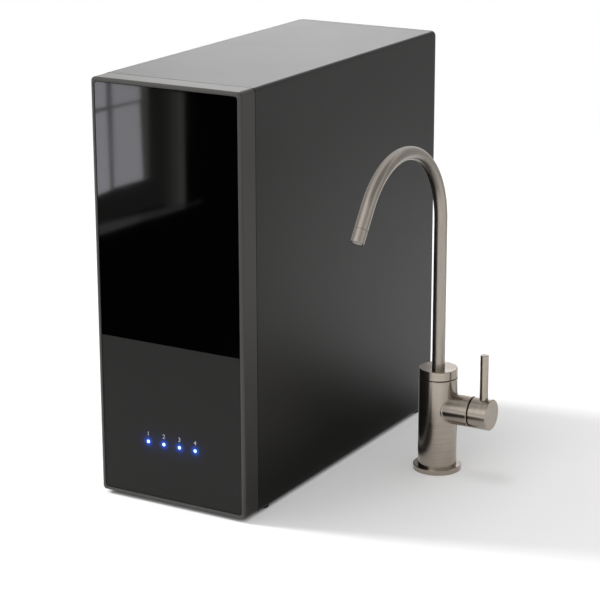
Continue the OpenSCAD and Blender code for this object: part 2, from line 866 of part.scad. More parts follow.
// Power supply in a ribbed box on the pan, low on the right
module power_supply() {
    color(black) in_case() translate([supply_x, motor_y, pan_top]) difference() {
        cube([supply_w, supply_l, supply_h]);
        for (y = [rib_in : rib_pitch : supply_l - rib_pitch])
            translate([-1, y, supply_h - rib_d]) cube([supply_w + 2, rib_w, rib_d + 1]);
    }
}

// Control board above the power supply, on four feet, with its larger components
module control_board() {
    foot = 6;
    foot_r = 2.5;
    foot_in = 4;
    end = 10;
    relay = [16, 20, 15];
    relay_x = 6;
    relay_pitch = 30;
    can_r = 7;
    can_h = 22;
    length = supply_l - 2 * end;
    color(board_green) in_case() translate([supply_x, motor_y + end, pan_top + supply_h + foot]) {
        cube([supply_w, length, board_t]);
        for (i = [0, 1])
            translate([relay_x, end + i * relay_pitch, board_t - 0.1]) cube(relay);
        translate([relay_x + relay[0] / 2, end + 2 * relay_pitch + can_r, board_t - 0.1])
            cylinder(r = can_r, h = can_h);
        for (x = [foot_in, supply_w - foot_in], y = [foot_in, length - foot_in])
            translate([x, y, -foot]) cylinder(r = foot_r, h = foot + 0.1);
    }
}

function waterway_r(r) = r - stop_wall;

// Push-in connector through the rear panel: tube seat, collet pocket, flange and back nut
module port(r) {
    inner = shell_back - port_inner;
    outer = case_d + port_reach - collet_lip - 1;
    difference() {
        union() {
            bar_y(port_body_r, inner, outer);
            bar_y(port_body_r + port_flange_out, case_d, case_d + port_flange_t);
            hex_y(port_body_r + port_nut_out, shell_back - port_nut_t, shell_back);
        }
        bar_y(r + collet_lip - collet_t + 0.2, outer - pocket, outer + 1);
        bar_y(r + fit_gap, outer - pocket - tube_seat, outer);
        bar_y(waterway_r(r) + fit_gap, inner - 1, outer);
    }
}

// Collet: a sleeve in the connector's pocket with a lip that a thumb presses in
module collet(r) {
    outer = case_d + port_reach - collet_lip - 1;
    difference() {
        union() {
            bar_y(r + collet_lip - collet_t, outer - pocket + collet_travel + join, outer + 2.2);
            bar_y(r + collet_lip, outer + collet_travel + 0.4, case_d + port_reach);
        }
        bar_y(r + 0.2, outer - pocket, case_d + port_reach + 1);
    }
}

module at_port(x) in_case() translate([x, 0, port_z]) children();
module feed_port() color(black) at_port(feed_x) port(tube_r);
module drain_port() color(black) at_port(drain_x) port(drain_tube_r);
module pure_port() color(black) at_port(pure_x) port(tube_r);
module feed_collet() color(inner_white) at_port(feed_x) collet(tube_r);
module drain_collet() color(inner_white) at_port(drain_x) collet(drain_tube_r);
module pure_collet() color(inner_white) at_port(pure_x) collet(tube_r);

// Cable gland for the mains lead: a threaded body and a clamping nut round an open bore
module cable_gland() {
    color(black) in_case() translate([gland_x, 0, gland_z]) difference() {
        union() {
            bar_y(gland_r + gland_wall, shell_back - 2 * gland_nut_t, case_d + 1);
            hex_y(gland_r + gland_nut_out, case_d, case_d + gland_nut_t);
            bar_y(gland_r + 3.4, case_d + gland_nut_t - 0.1, case_d + port_reach - gland_cap_l);
            translate([0, case_d + port_reach - gland_cap_l - 0.1, 0]) rotate([-90, 0, 0])
                cylinder(r1 = gland_r + 3.4, r2 = gland_r + 1.6, h = gland_cap_l);
            hex_y(gland_r + gland_nut_out, shell_back - gland_nut_t, shell_back);
        }
        bar_y(gland_r, shell_back - 2 * gland_nut_t - 1, case_d + port_reach + 1);
    }
}

// Bezel: the cover's rim, rounded at the front, thinner behind the panels
module front_bezel() {
    color(bezel_grey) in_case() difference() {
        hull() {
            for (turn = [0 : 18 : 90])
                bezel_step(bezel_round * (1 - sin(turn)), bezel_round * (1 - cos(turn)));
            bezel_step(cover_d - sliver, 0);
        }
        along_y(-1, lip_d + 1)
            plate_outline(open_w, land_w, case_h - land_w, open_r, open_r);
        hull() {
            for (end = [[-1, bezel_bevel + 1], [bezel_bevel, 0]])
                along_y(end[0], end[0] + sliver)
                    plate_outline(open_w + 2 * end[1], land_w - end[1], case_h - land_w + end[1],
                        open_r + end[1], open_r + end[1], $fn = 32);
        }
        along_y(lip_d, cover_d + 1)
            plate_outline(case_w - 2 * skirt_wall, skirt_wall, case_h - skirt_wall, 2, 2);
    }
}

// One thin slice of the bezel's outline, at a depth and drawn in by an inset
module bezel_step(y, inset) {
    along_y(y, y + sliver)
        plate_outline(case_w - 2 * inset, inset, case_h - inset, bezel_r - inset, bezel_r - inset,
            $fn = 32);
}

// Glass panel over the upper part of the front
module glass_panel() {
    color(glass_black) in_case() along_y(panel_inset, plate_front)
        plate_outline(open_w - 2 * panel_gap, split_z + join_gap / 2, case_h - land_w - panel_gap,
            0.4, panel_r);
}

// Display panel below the glass, with a hole for each lens
module display_panel() {
    color(black) in_case() difference() {
        along_y(panel_inset, plate_front)
            plate_outline(open_w - 2 * panel_gap, land_w + panel_gap, split_z - join_gap / 2,
                panel_r, 0.4);
        for (x = led_xs)
            translate([x, 0, led_z]) bar_y(led_r + fit_gap, 0, plate_front + 1);
    }
}

// Back plate that both panels are bonded to, with a stiffening rim and the stud bosses
module cover_backplate() {
    w = open_w - 2 * fit_gap;
    z0 = land_w + fit_gap;
    z1 = case_h - land_w - fit_gap;
    color(black) in_case() difference() {
        union() {
            difference() {
                along_y(plate_front, plate_back + 4) plate_outline(w, z0, z1, plate_r, plate_r);
                along_y(plate_back, plate_back + 5)
                    plate_outline(w - 4, z0 + 2, z1 - 2, plate_r - 2, plate_r - 2);
            }
            for (x = stud_xs, z = stud_zs)
                translate([x, 0, z]) bar_y(stud_r + 2.6, plate_back - 0.5, plate_back + 6);
        }
        for (x = stud_xs, z = stud_zs)
            translate([x, 0, z]) bar_y(stud_r + run_gap, plate_back, plate_back + 7);
        for (x = led_xs)
            translate([x, 0, led_z]) bar_y(led_r + fit_gap, plate_front - 1, plate_back + 1);
    }
}

// Four light pipes, each with a lens end in the panel and a collar behind the back plate
module indicator_lenses() {
    color("white") in_case()
        for (x = led_xs)
            translate([x, 0, led_z]) {
                bar_y(led_r, panel_inset - 0.2, board_y - led_h - 0.6);
                bar_y(led_r + 1, plate_back + 0.1, plate_back + 1.5);
            }
}

// Four studs with ball ends that snap into the bulkhead's sockets
module cover_studs() {
    color(inner_white) in_case()
        for (x = stud_xs, z = stud_zs)
            translate([x, 0, z]) {
                bar_y(stud_r, plate_back + 0.1, bulk_y - 5);
                bar_y(stud_r - 0.6, bulk_y - 5.5, bulk_y - 1);
                translate([0, bulk_y, 0]) sphere(r = stud_r, $fn = 48);
            }
}

// Faucet column with its side barrel, socket, water channels and valve chamber
module faucet_body() {
    color(steel) at_faucet() difference() {
        union() {
            translate([0, 0, flange_t]) cylinder(r = column_r, h = swivel_z - flange_t - edge);
            translate([0, 0, swivel_z - edge]) cylinder(r1 = column_r, r2 = column_r - edge, h = edge);
            cylinder(r = flange_spigot(), h = flange_t + 1);
            translate([0, 0, barrel_z]) {
                bar_x(barrel_r, 0, barrel_reach - edge);
                translate([barrel_reach - edge, 0, 0]) rotate([0, 90, 0])
                    cylinder(r1 = barrel_r, r2 = barrel_r - edge, h = edge);
            }
            intersection() {
                translate([0, 0, barrel_z]) bar_x(barrel_r + rim, 0, column_r + 5);
                translate([0, 0, barrel_z - barrel_r - 2])
                    cylinder(r = column_r + rim, h = 2 * barrel_r + 4);
            }
        }
        translate([0, 0, -1]) cylinder(r = socket_r, h = 15 + 1);
        cylinder(r = channel_r, h = barrel_z);
        translate([0, 0, barrel_z]) bar_x(chamber_r, 2, barrel_reach + 1);
        translate([0, 0, barrel_z]) cylinder(r = channel_r, h = swivel_z - barrel_z);
        translate([0, 0, swivel_z - stem_l - 1]) cylinder(r = stem_r + run_gap, h = stem_l + 2);
    }
}

function flange_spigot() = socket_r + 4;

// Base flange with a chamfered rim, a hole for the column's spigot and a gasket groove below
module faucet_flange() {
    color(steel) at_faucet() difference() {
        union() {
            cylinder(r = flange_r, h = flange_t - edge);
            translate([0, 0, flange_t - edge])
                cylinder(r1 = flange_r, r2 = flange_r - edge, h = edge);
        }
        translate([0, 0, -1]) cylinder(r = flange_spigot() + fit_gap, h = flange_t + 2);
        translate([0, 0, -1]) ring(gasket_r + fit_gap, gasket_r - 4 - fit_gap, 1 + 1.6);
    }
}

// Flat gasket in the flange's underside
module faucet_gasket() {
    color(rubber_black) at_faucet() ring(gasket_r, gasket_r - 4, 1.5);
}

// Ceramic valve cartridge in the barrel
module valve_cartridge() {
    color(inner_white) at_faucet() translate([0, 0, barrel_z]) difference() {
        union() {
            bar_x(chamber_r - fit_gap, 8, barrel_reach - 8);
            bar_x(chamber_r - 3, barrel_reach - 8.5, barrel_reach - 1);
        }
        bar_x(spindle_r + run_gap, barrel_reach - 16, barrel_reach);
    }
}

// Ring nut that holds the cartridge in the barrel
module valve_nut() {
    color(brass) at_faucet() translate([0, 0, barrel_z]) difference() {
        union() {
            bar_x(chamber_r - fit_gap, barrel_reach - 7.8, barrel_reach);
            translate([barrel_reach, 0, 0]) rotate([0, 90, 0])
                cylinder(r = chamber_r - 0.5, h = 4, $fn = 6);
        }
        bar_x(chamber_r - 3 + fit_gap, barrel_reach - 10, barrel_reach + 6);
    }
}

// Spout: a bored tube that rises, bends over in an arch and leans forward to its outlet
module at_arch_end() translate([0, arch_end[0], arch_end[1]]) rotate([arch_angle, 0, 0]) children();

module spout_path(r, extra) {
    foot = collar_z - spout_in;
    translate([0, 0, foot - extra]) cylinder(r = r, h = arch_z - foot + extra);
    translate([0, -arch_r, arch_z]) rotate([90, 0, -90]) rotate([0, 0, 180 - arch_angle])
        rotate_extrude(angle = arch_angle) translate([arch_r, 0]) circle(r);
    at_arch_end() cylinder(r = r, h = outlet_l + extra);
}

// Short cores inside the tube wall, where its straight runs meet the arch
module spout_cores(r) {
    translate([0, 0, arch_z - lap]) cylinder(r = r, h = 2 * lap);
    at_arch_end() translate([0, 0, -lap]) cylinder(r = r, h = 2 * lap);
}

module spout_tube() {
    color(steel) at_faucet() difference() {
        union() {
            spout_path(spout_r, 0);
            spout_cores(spout_r - spout_wall / 2);
        }
        spout_path(spout_r - spout_wall, 1);
    }
}

// Swivel collar with the stem that turns in the column
module swivel_collar() {
    color(steel) at_faucet() difference() {
        union() {
            translate([0, 0, collar_z]) cylinder(r1 = column_r - edge, r2 = column_r, h = edge);
            translate([0, 0, collar_z + edge]) cylinder(r = column_r, h = collar_h - 2 * edge);
            translate([0, 0, collar_top - edge])
                cylinder(r1 = column_r, r2 = column_r - edge, h = edge);
            translate([0, 0, collar_z - groove - stem_l]) cylinder(r = stem_r, h = stem_l + groove + 1);
        }
        translate([0, 0, collar_z - spout_in])
            cylinder(r = spout_r + run_gap, h = spout_in + collar_h + 1);
        translate([0, 0, collar_z - 40]) cylinder(r = spout_r - spout_wall, h = 60);
        for (z = stem_seal_zs())
            translate([0, 0, z]) ring(stem_r + 1, stem_r - 1.3, 2);
    }
}

function stem_seal_zs() = [swivel_z - stem_l + 3, swivel_z - stem_l + 8];

// Two sealing rings on the swivel stem
module spout_seals() {
    color(rubber_black) at_faucet()
        for (z = stem_seal_zs())
            translate([0, 0, z + 1]) rotate_extrude() translate([stem_r - 0.65, 0]) circle(0.6);
}

// Aerator: a sleeve at the spout's end, with a shallow groove above it and a screen inside
module aerator() {
    color(steel) at_faucet()
        translate([0, arch_end[0], arch_end[1]]) rotate([arch_angle, 0, 0])
            translate([0, 0, outlet_l]) difference() {
                union() {
                    translate([0, 0, aerator_seam])
                        cylinder(r = aerator_r, h = aerator_l - aerator_seam - edge);
                    translate([0, 0, aerator_l - edge])
                        cylinder(r1 = aerator_r, r2 = aerator_r - edge, h = edge);
                    translate([0, 0, -aerator_plug_l])
                        cylinder(r = spout_r - spout_wall - fit_gap, h = aerator_plug_l + 1);
                }
                translate([0, 0, aerator_l - aerator_lip])
                    cylinder(r = aerator_r - aerator_lip, h = aerator_lip + 1);
                translate([0, 0, -aerator_plug_l - 1])
                    cylinder(r = aerator_bore_r, h = aerator_l + aerator_plug_l + 2);
            }
}

// Lever hub: a capped drum that turns on the barrel's axis
module lever_hub() {
    color(steel) at_faucet() translate([0, 0, barrel_z]) difference() {
        union() {
            translate([hub_gap_x, 0, 0]) rotate([0, 90, 0])
                cylinder(r1 = barrel_r - edge, r2 = barrel_r, h = edge);
            bar_x(barrel_r, hub_gap_x + edge, hub_end - edge);
            translate([hub_end - edge, 0, 0]) rotate([0, 90, 0])
                cylinder(r1 = barrel_r, r2 = barrel_r - edge, h = edge);
        }
        bar_x(hub_cup_r, hub_gap_x - 1, hub_gap_x + hub_cup_l);
        bar_x(spindle_r, hub_gap_x, hub_gap_x + hub_cup_l + 5);
        translate([rod_x(), 0, rod_foot()]) cylinder(r = rod_r + run_gap, h = 30);
    }
}

function rod_x() = hub_gap_x + rod_in;
function rod_foot() = spindle_r + 2;

// Lever rod with a chamfered end
module lever_rod() {
    color(steel) at_faucet() translate([rod_x(), 0, barrel_z]) {
        translate([0, 0, rod_foot()]) cylinder(r = rod_r, h = rod_reach - rod_foot() - edge);
        translate([0, 0, rod_reach - edge]) cylinder(r1 = rod_r, r2 = rod_r - edge, h = edge);
    }
}

// Valve spindle between the ceramic discs and the hub
module valve_spindle() {
    color(metal_grey) at_faucet() translate([0, 0, barrel_z])
        bar_x(spindle_r, barrel_reach - 15, hub_gap_x + hub_cup_l + 5);
}

case_shell();
base_pan();
feet();
rear_panel();
rear_screws();
front_bulkhead();
display_board();
filter_shelf();
manifold();
pump_head();
motor_can();
motor_bearings();
pump_bracket();
pump_mounts();
inlet_valve();
flush_valve();
flow_sensor();
power_supply();
control_board();
feed_port();
drain_port();
pure_port();
cable_gland();
feed_riser();
pump_inlet_tube();
pump_outlet_tube();
drain_riser();
pure_riser();
front_bezel();
glass_panel();
display_panel();
cover_backplate();
indicator_lenses();
cover_studs();
membrane_cartridge();
membrane_seals();
carbon_cartridge();
carbon_seals();
polish_cartridge();
polish_seals();
motor_shaft();
motor_armature();
feed_collet();
drain_collet();
pure_collet();
faucet_body();
faucet_flange();
faucet_gasket();
valve_cartridge();
valve_nut();
spout_tube();
swivel_collar();
spout_seals();
aerator();
lever_hub();
lever_rod();
valve_spindle();
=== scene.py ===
import logging
import math
from dataclasses import dataclass
from enum import Enum
from typing import Any, Sequence

import bmesh
import bpy
from bpy.types import Material, Mesh, Node, NodeSocket, NodeTree, Object
from mathutils import Matrix, Vector


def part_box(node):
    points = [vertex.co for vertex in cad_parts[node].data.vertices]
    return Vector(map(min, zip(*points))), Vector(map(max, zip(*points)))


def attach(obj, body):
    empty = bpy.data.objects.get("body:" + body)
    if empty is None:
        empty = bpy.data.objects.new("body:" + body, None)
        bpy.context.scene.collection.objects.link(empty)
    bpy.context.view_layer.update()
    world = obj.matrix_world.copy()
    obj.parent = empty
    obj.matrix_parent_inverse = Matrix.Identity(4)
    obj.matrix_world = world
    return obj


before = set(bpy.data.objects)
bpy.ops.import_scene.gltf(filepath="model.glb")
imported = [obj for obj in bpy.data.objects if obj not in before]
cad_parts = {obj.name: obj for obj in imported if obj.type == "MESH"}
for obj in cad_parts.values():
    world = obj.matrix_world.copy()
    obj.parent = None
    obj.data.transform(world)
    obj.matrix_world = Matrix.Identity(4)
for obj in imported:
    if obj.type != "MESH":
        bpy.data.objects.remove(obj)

LOG = logging.getLogger("purifier")
Colour = tuple[float, float, float]
Span = tuple[float, float]
MM = 0.001

# Radius of the spout's arch along the middle of its tube, in millimetres
ARCH_R = 80.3


class Body(Enum):
    """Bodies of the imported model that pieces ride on."""

    HOUSING = "housing"
    COVER = "front_cover"
    MEMBRANE = "membrane_filter"
    CARBON = "carbon_filter"
    POLISH = "polish_filter"
    SPOUT = "spout"


class Lines(Enum):
    """The way in which the brush lines of a steel piece run."""

    ROUND_Z = "round the upright axis"
    ROUND_X = "round the barrel's axis"
    ROUND_BOTH = "round the column and round its barrel"
    ALONG_ARCH = "along the bent tube"
    ALONG_X = "along the left-right axis"


class Value:
    """A socket of a node tree that takes part in Python expressions."""

    def __init__(self, book: "NodeBook", socket: NodeSocket) -> None:
        """Keeps the socket and the book that adds nodes after it."""
        self.book = book
        self.socket = socket

    def math(self, operation: str, *others: "Value | float") -> "Value":
        """Adds one Math node with this as its first operand and gives its result."""
        made = self.book.node("ShaderNodeMath", {"operation": operation}, dict(enumerate((self, *others))))
        return Value(self.book, made.outputs[0])

    def __add__(self, other: "Value | float") -> "Value":
        """Adds."""
        return self.math("ADD", other)

    __radd__ = __add__

    def __mul__(self, other: "Value | float") -> "Value":
        """Multiplies."""
        return self.math("MULTIPLY", other)

    __rmul__ = __mul__

    def __sub__(self, other: "Value | float") -> "Value":
        """Subtracts the other from this."""
        return self.math("SUBTRACT", other)

    def __rsub__(self, other: float) -> "Value":
        """Subtracts this from a number."""
        return self.book.number(other).math("SUBTRACT", self)

    def __truediv__(self, other: "Value | float") -> "Value":
        """Divides this by the other."""
        return self.math("DIVIDE", other)

    def __pow__(self, other: float) -> "Value":
        """Raises this to a power."""
        return self.math("POWER", other)

    def __neg__(self) -> "Value":
        """Turns the sign."""
        return self.math("MULTIPLY", -1.0)

    def above(self, limit: float) -> "Value":
        """Gives 1 where this is more than the limit, else 0."""
        return self.math("GREATER_THAN", limit)

    def ramp(self, start: float, end: float) -> "Value":
        """Gives a smooth step from 0 at start to 1 at end.

        Args:
            start: Where the step begins.
            end: Where it ends.

        Returns:
            The step, from 0 to 1.
        """
        settings = {"interpolation_type": "SMOOTHSTEP"}
        sockets = {"Value": self, "From Min": start, "From Max": end}
        return Value(self.book, self.book.node("ShaderNodeMapRange", settings, sockets).outputs["Result"])

    def pick(self, low: "Value | float", high: "Value") -> "Value":
        """Gives low where this is 0 and high where it is 1."""
        return low + self * (high - low)

    def swing(self, share: float) -> "Value":
        """Gives how far a noise is from its middle, times a share."""
        return (self - 0.5) * share


class NodeBook:
    """Writes nodes into one node tree."""

    def __init__(self, tree: NodeTree) -> None:
        """Keeps the tree that is written."""
        self.tree = tree

    def node(self, kind: str, settings: dict[str, Any] | None = None,
             sockets: dict[str | int, Any] | None = None) -> Node:
        """Adds a node, sets it up and feeds its sockets.

        Args:
            kind: The node's type name.
            settings: Its own properties.
            sockets: What its input sockets take, by name or place.

        Returns:
            The new node.
        """
        made = self.tree.nodes.new(kind)
        for name, value in (settings or {}).items():
            setattr(made, name, value)
        self.feed(made, sockets or {})
        return made

    def out(self, kind: str, sockets: dict[str | int, Any]) -> NodeSocket:
        """Adds a node that only needs its sockets fed and gives its first output."""
        return self.node(kind, None, sockets).outputs[0]

    def feed(self, node: Node, sockets: dict[str | int, Any]) -> None:
        """Sets or links a node's input sockets.

        Args:
            node: The node.
            sockets: Numbers, colours, Values or sockets, by the input's name or place.
        """
        for key, value in sockets.items():
            taker = node.inputs[key]
            if isinstance(value, Value):
                value = value.socket
            if isinstance(value, NodeSocket):
                self.tree.links.new(value, taker)
            else:
                taker.default_value = (*value, 1.0) if taker.type == "RGBA" else value

    def number(self, value: float) -> Value:
        """Gives a plain number as a Value.

        Args:
            value: The number.

        Returns:
            A Value that stays the same everywhere.
        """
        made = self.node("ShaderNodeValue")
        made.outputs[0].default_value = value
        return Value(self, made.outputs[0])

    def object_xyz(self) -> tuple[Value, Value, Value]:
        """Gives the surface point's place in the object's own frame, in millimetres.

        Returns:
            Its x, y and z.
        """
        point = self.node("ShaderNodeTexCoord").outputs["Object"]
        parts = self.node("ShaderNodeSeparateXYZ", None, {0: point}).outputs
        return tuple(Value(self, part) * 1000.0 for part in parts)

    def vector(self, x: Value | float, y: Value | float, z: Value | float) -> NodeSocket:
        """Joins three numbers into a vector."""
        return self.out("ShaderNodeCombineXYZ", {0: x, 1: y, 2: z})

    def noise(self, vector: NodeSocket, size: float, detail: float = 2.0) -> Value:
        """Gives a noise round 0.5 over a vector, with blots a size apart, all in millimetres."""
        sockets = {"Vector": vector, "Scale": 1.0 / size, "Detail": detail}
        return Value(self, self.out("ShaderNodeTexNoise", sockets))

    def blend(self, factor: Value | float, low: Any, high: Any) -> NodeSocket:
        """Mixes two colours, each a colour or a socket."""
        return self.node("ShaderNodeMix", {"data_type": "RGBA"}, {0: factor, 6: low, 7: high}).outputs[2]

    def relief(self, height: Value, depth: float) -> NodeSocket:
        """Turns a height from 0 to 1 into a normal, where 1 stands for a depth in millimetres."""
        sockets = {"Strength": 1.0, "Distance": depth * MM, "Height": height}
        return self.out("ShaderNodeBump", sockets)


def tinted(colour: Colour, share: float) -> Colour:
    """Gives a colour that is lighter or darker by a share."""
    return tuple(min(1.0, c * share) for c in colour)


@dataclass(frozen=True)
class Finish:
    """A named look that becomes a material."""

    name: str

    def material(self) -> Material:
        """Builds the material.

        Returns:
            The material.
        """
        made = bpy.data.materials.new(self.name)
        made.use_nodes = True
        book = NodeBook(made.node_tree)
        book.feed(made.node_tree.nodes["Principled BSDF"], self.sockets(book))
        return made

    def sockets(self, book: NodeBook) -> dict[str, Any]:
        """Gives what the main shader's sockets take, by name; each kind of finish has its own."""
        raise NotImplementedError


@dataclass(frozen=True)
class Satin(Finish):
    """A painted, moulded or rubber surface with a fine grain."""

    colour: Colour
    roughness: float = 0.45
    specular: float = 0.5
    metallic: float = 0.0
    drift: float = 0.06
    grain: float = 0.5
    depth: float = 0.004
    cloud: float = 45.0

    def sockets(self, book: NodeBook) -> dict[str, Any]:
        """Gives the sockets of a cloudy, finely grained surface.

        Args:
            book: The material's book.

        Returns:
            Values by socket name.
        """
        point = book.vector(*book.object_xyz())
        cloud = book.noise(point, self.cloud, 3.0)
        grain = book.noise(point, self.grain, 3.0)
        return {
            "Base Color": self.base(book, cloud.swing(1.2) + grain.swing(0.5) + 0.5),
            "Roughness": cloud.swing(0.03) + grain.swing(0.08) + self.roughness,
            "Normal": book.relief(grain, self.depth),
            "Specular IOR Level": self.specular,
            "Metallic": self.metallic,
        }

    def base(self, book: NodeBook, tone: Value) -> NodeSocket:
        """Gives the surface's colour from its tone, which is round 0.5."""
        return book.blend(tone, tinted(self.colour, 1 - self.drift), tinted(self.colour, 1 + self.drift))


@dataclass(frozen=True)
class Frame(Satin):
    """The front frame's moulding, with a painted highlight: a paler colour on the narrow land round the
    glass, for the light that the land catches.
    """

    front: float = -194.0
    land_highlight_edge: Span = (0.1, 2.4)
    land_highlight: Colour = (0.066, 0.0635, 0.058)

    def base(self, book: NodeBook, tone: Value) -> NodeSocket:
        """Gives the moulding's colour, blended at the front into the land's paler colour, which is a painted
        highlight.
        """
        _, y, _ = book.object_xyz()
        # painted highlight: the land round the glass is made paler for the light that falls on it
        return book.blend((y - self.front).ramp(*self.land_highlight_edge), self.land_highlight, super().base(book, tone))


@dataclass(frozen=True)
class Brushed(Finish):
    """Steel brushed in fine lines."""

    colour: Colour
    lines: Lines
    roughness: float = 0.3
    centre: tuple[float, float, float] = (0.0, 0.0, 0.0)
    column_r: float = 19.0
    pitch: float = 0.45
    broad_pitch: float = 2.7
    depth: float = 0.0013

    def _grain(self, book: NodeBook, stretch: float) -> NodeSocket:
        """Gives the vector that a noise is read from, drawn out along the lines.

        Args:
            book: The material's book.
            stretch: How much slower the noise changes along the lines.

        Returns:
            The vector, in millimetres across the lines.
        """
        x, y, z = book.object_xyz()
        x, y, z = (part - centre for part, centre in zip((x, y, z), self.centre))
        if self.lines is Lines.ROUND_X:
            return book.vector(x, y * stretch, z * stretch)
        if self.lines is Lines.ALONG_X:
            return book.vector(x * stretch, y, z)
        if self.lines is Lines.ROUND_BOTH:
            barrel = x.above(self.column_r)
            return book.vector(barrel.pick(z, x), y * stretch, barrel.pick(x, z) * stretch)
        if self.lines is Lines.ALONG_ARCH:
            out = y + ARCH_R
            bent = z.above(0.0)
            along = bent.pick(z, z.math("ARCTAN2", out) * ARCH_R)
            radial = bent.pick(y, (out * out + z * z) ** 0.5 - ARCH_R)
            return book.vector(x, radial, along * stretch)
        return book.vector(z, x * stretch, y * stretch)

    def sockets(self, book: NodeBook) -> dict[str, Any]:
        """Gives the sockets of a metal with fine and broader lines.

        Args:
            book: The material's book.

        Returns:
            Values by socket name.
        """
        fine = book.noise(self._grain(book, 0.035), self.pitch, 3.0)
        broad = book.noise(self._grain(book, 0.02), self.broad_pitch, 2.0)
        tone = fine.swing(1.1) + broad.swing(0.6) + 0.5
        return {
            "Base Color": book.blend(tone, tinted(self.colour, 0.8), tinted(self.colour, 1.18)),
            "Roughness": fine.swing(0.16) + broad.swing(0.08) + self.roughness,
            "Normal": book.relief(fine, self.depth),
            "Metallic": 1.0,
        }


@dataclass(frozen=True)
class BackPrintedGlass(Finish):
    """Black glass with a hard gloss and a hint of wiping marks."""

    colour: Colour = (0.0006, 0.0006, 0.0007)
    roughness: float = 0.045
    specular: float = 0.28

    def sockets(self, book: NodeBook) -> dict[str, Any]:
        """Gives the sockets of a gloss with wiping marks drawn out upwards.

        Args:
            book: The material's book.

        Returns:
            Values by socket name.
        """
        x, y, z = book.object_xyz()
        smear = book.noise(book.vector(x, y, z * 0.35), 26.0, 3.0)
        return {
            "Base Color": book.blend(smear, tinted(self.colour, 0.8), tinted(self.colour, 1.3)),
            "Roughness": smear.swing(0.03) + self.roughness,
            "Specular IOR Level": self.specular,
        }


@dataclass(frozen=True)
class RoundLights(Finish):
    """A surface that shines round the row of indicator lights."""

    lights: tuple[float, ...]
    lights_z: float
    reach: float = 3.1

    def far(self, x: Value, z: Value) -> list[Value]:
        """Gives a point's squared distance to each light, with the reach as its unit."""
        return [((x - light) ** 2.0 + (z - self.lights_z) ** 2.0) / self.reach ** 2 for light in self.lights]


@dataclass(frozen=True)
class SmokedPanel(RoundLights):
    """The satin dark panel, with a painted blue glow round each indicator light."""

    colour: Colour = (0.012, 0.0117, 0.0110)
    roughness: float = 0.5
    specular: float = 0.2
    glow: Colour = (0.008, 0.1, 0.8)
    halo_fall: float = 0.13
    halo_share: float = 0.05

    def sockets(self, book: NodeBook) -> dict[str, Any]:
        """Gives the sockets of a grained panel with a painted near and wide glow round the lights.

        Args:
            book: The material's book.

        Returns:
            Values by socket name.
        """
        x, y, z = book.object_xyz()
        point = book.vector(x, y, z)
        grain = book.noise(point, 0.5, 3.0)
        cloud = book.noise(point, 40.0, 2.0)
        # painted glow: the panel gives off light of its own round each indicator light, near and wide
        near = book.number(0.0)
        for far in self.far(x, z):
            near = near + book.number(math.e).math("POWER", -far)
            near = near + book.number(math.e).math("POWER", far * -self.halo_fall) * self.halo_share
        return {
            "Base Color": book.blend(cloud, tinted(self.colour, 0.92), tinted(self.colour, 1.08)),
            "Roughness": grain.swing(0.1) + self.roughness,
            "Normal": book.relief(grain, 0.003),
            "Specular IOR Level": self.specular,
            "Emission Color": book.blend(near.math("MINIMUM", 1.0), (0.0, 0.0, 0.0), self.glow),
            "Emission Strength": 1.0,
        }


@dataclass(frozen=True)
class LitLens(RoundLights):
    """A light pipe's end, white in the middle and blue towards its rim."""

    reach: float = 1.6
    strength: float = 1.7

    def sockets(self, book: NodeBook) -> dict[str, Any]:
        """Gives the sockets of a lit lens.

        Args:
            book: The material's book.

        Returns:
            Values by socket name.
        """
        x, _, z = book.object_xyz()
        near = book.number(0.0)
        for far in self.far(x, z):
            near = near + (1.0 - far).math("MAXIMUM", 0.0)
        return {
            "Base Color": (0.5, 0.7, 1.0),
            "Roughness": 0.25,
            "Emission Color": book.blend(near, (0.12, 0.42, 1.0), (0.85, 0.95, 1.0)),
            "Emission Strength": self.strength,
        }


@dataclass(frozen=True)
class Print(Finish):
    """Pale printed ink with a faint painted glow."""

    colour: Colour = (0.42, 0.44, 0.48)

    def sockets(self, book: NodeBook) -> dict[str, Any]:
        """Gives the sockets of speckled ink with a faint painted glow, so that it shows in the dark a little.

        Args:
            book: The material's book.

        Returns:
            Values by socket name.
        """
        speck = book.noise(book.vector(*book.object_xyz()), 0.4, 2.0)
        return {
            "Base Color": book.blend(speck, tinted(self.colour, 0.85), tinted(self.colour, 1.1)),
            "Roughness": speck.swing(0.1) + 0.55,
            # painted glow: the ink gives off a little light of its own
            "Emission Color": tinted(self.colour, 0.5),
            "Emission Strength": 0.35,
        }


def box_mm(node: str) -> tuple[Vector, Vector]:
    """Gives the low and the high corner of a CAD node's box, in millimetres."""
    low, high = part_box(node)
    return low / MM, high / MM


def facing(x: float, y: float, z: float) -> Matrix:
    """Gives the stand that brings the XY plane upright to a place in millimetres, facing the front."""
    return Matrix.Translation(Vector((x, y, z)) * MM) @ Matrix.Rotation(math.radians(90.0), 4, "X")


def dress(finish: Finish, *nodes: str) -> None:
    """Puts one finish on CAD nodes.

    Args:
        finish: The finish.
        *nodes: The nodes' names.
    """
    material = finish.material()
    for name in nodes:
        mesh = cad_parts[name].data
        mesh.materials.clear()
        mesh.materials.append(material)


def placed(name: str, data: Any) -> Object:
    """Adds an object with its data to the scene.

    Args:
        name: The object's name.
        data: Its mesh, curve, lamp or camera.

    Returns:
        The object.
    """
    made = bpy.data.objects.new(name, data)
    bpy.context.scene.collection.objects.link(made)
    return made


def add_piece(name: str, mesh: Mesh, material: Material, body: Body) -> None:
    """Adds a piece to the scene and lets it ride on a body.

    Args:
        name: The piece's name.
        mesh: Its mesh, in the row frame.
        material: Its finish.
        body: The body that it rides on.
    """
    mesh.materials.clear()
    mesh.materials.append(material)
    piece = placed(name, mesh)
    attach(piece, body.value)
    LOG.info("%s: %d faces on %s", name, len(mesh.polygons), body.value)


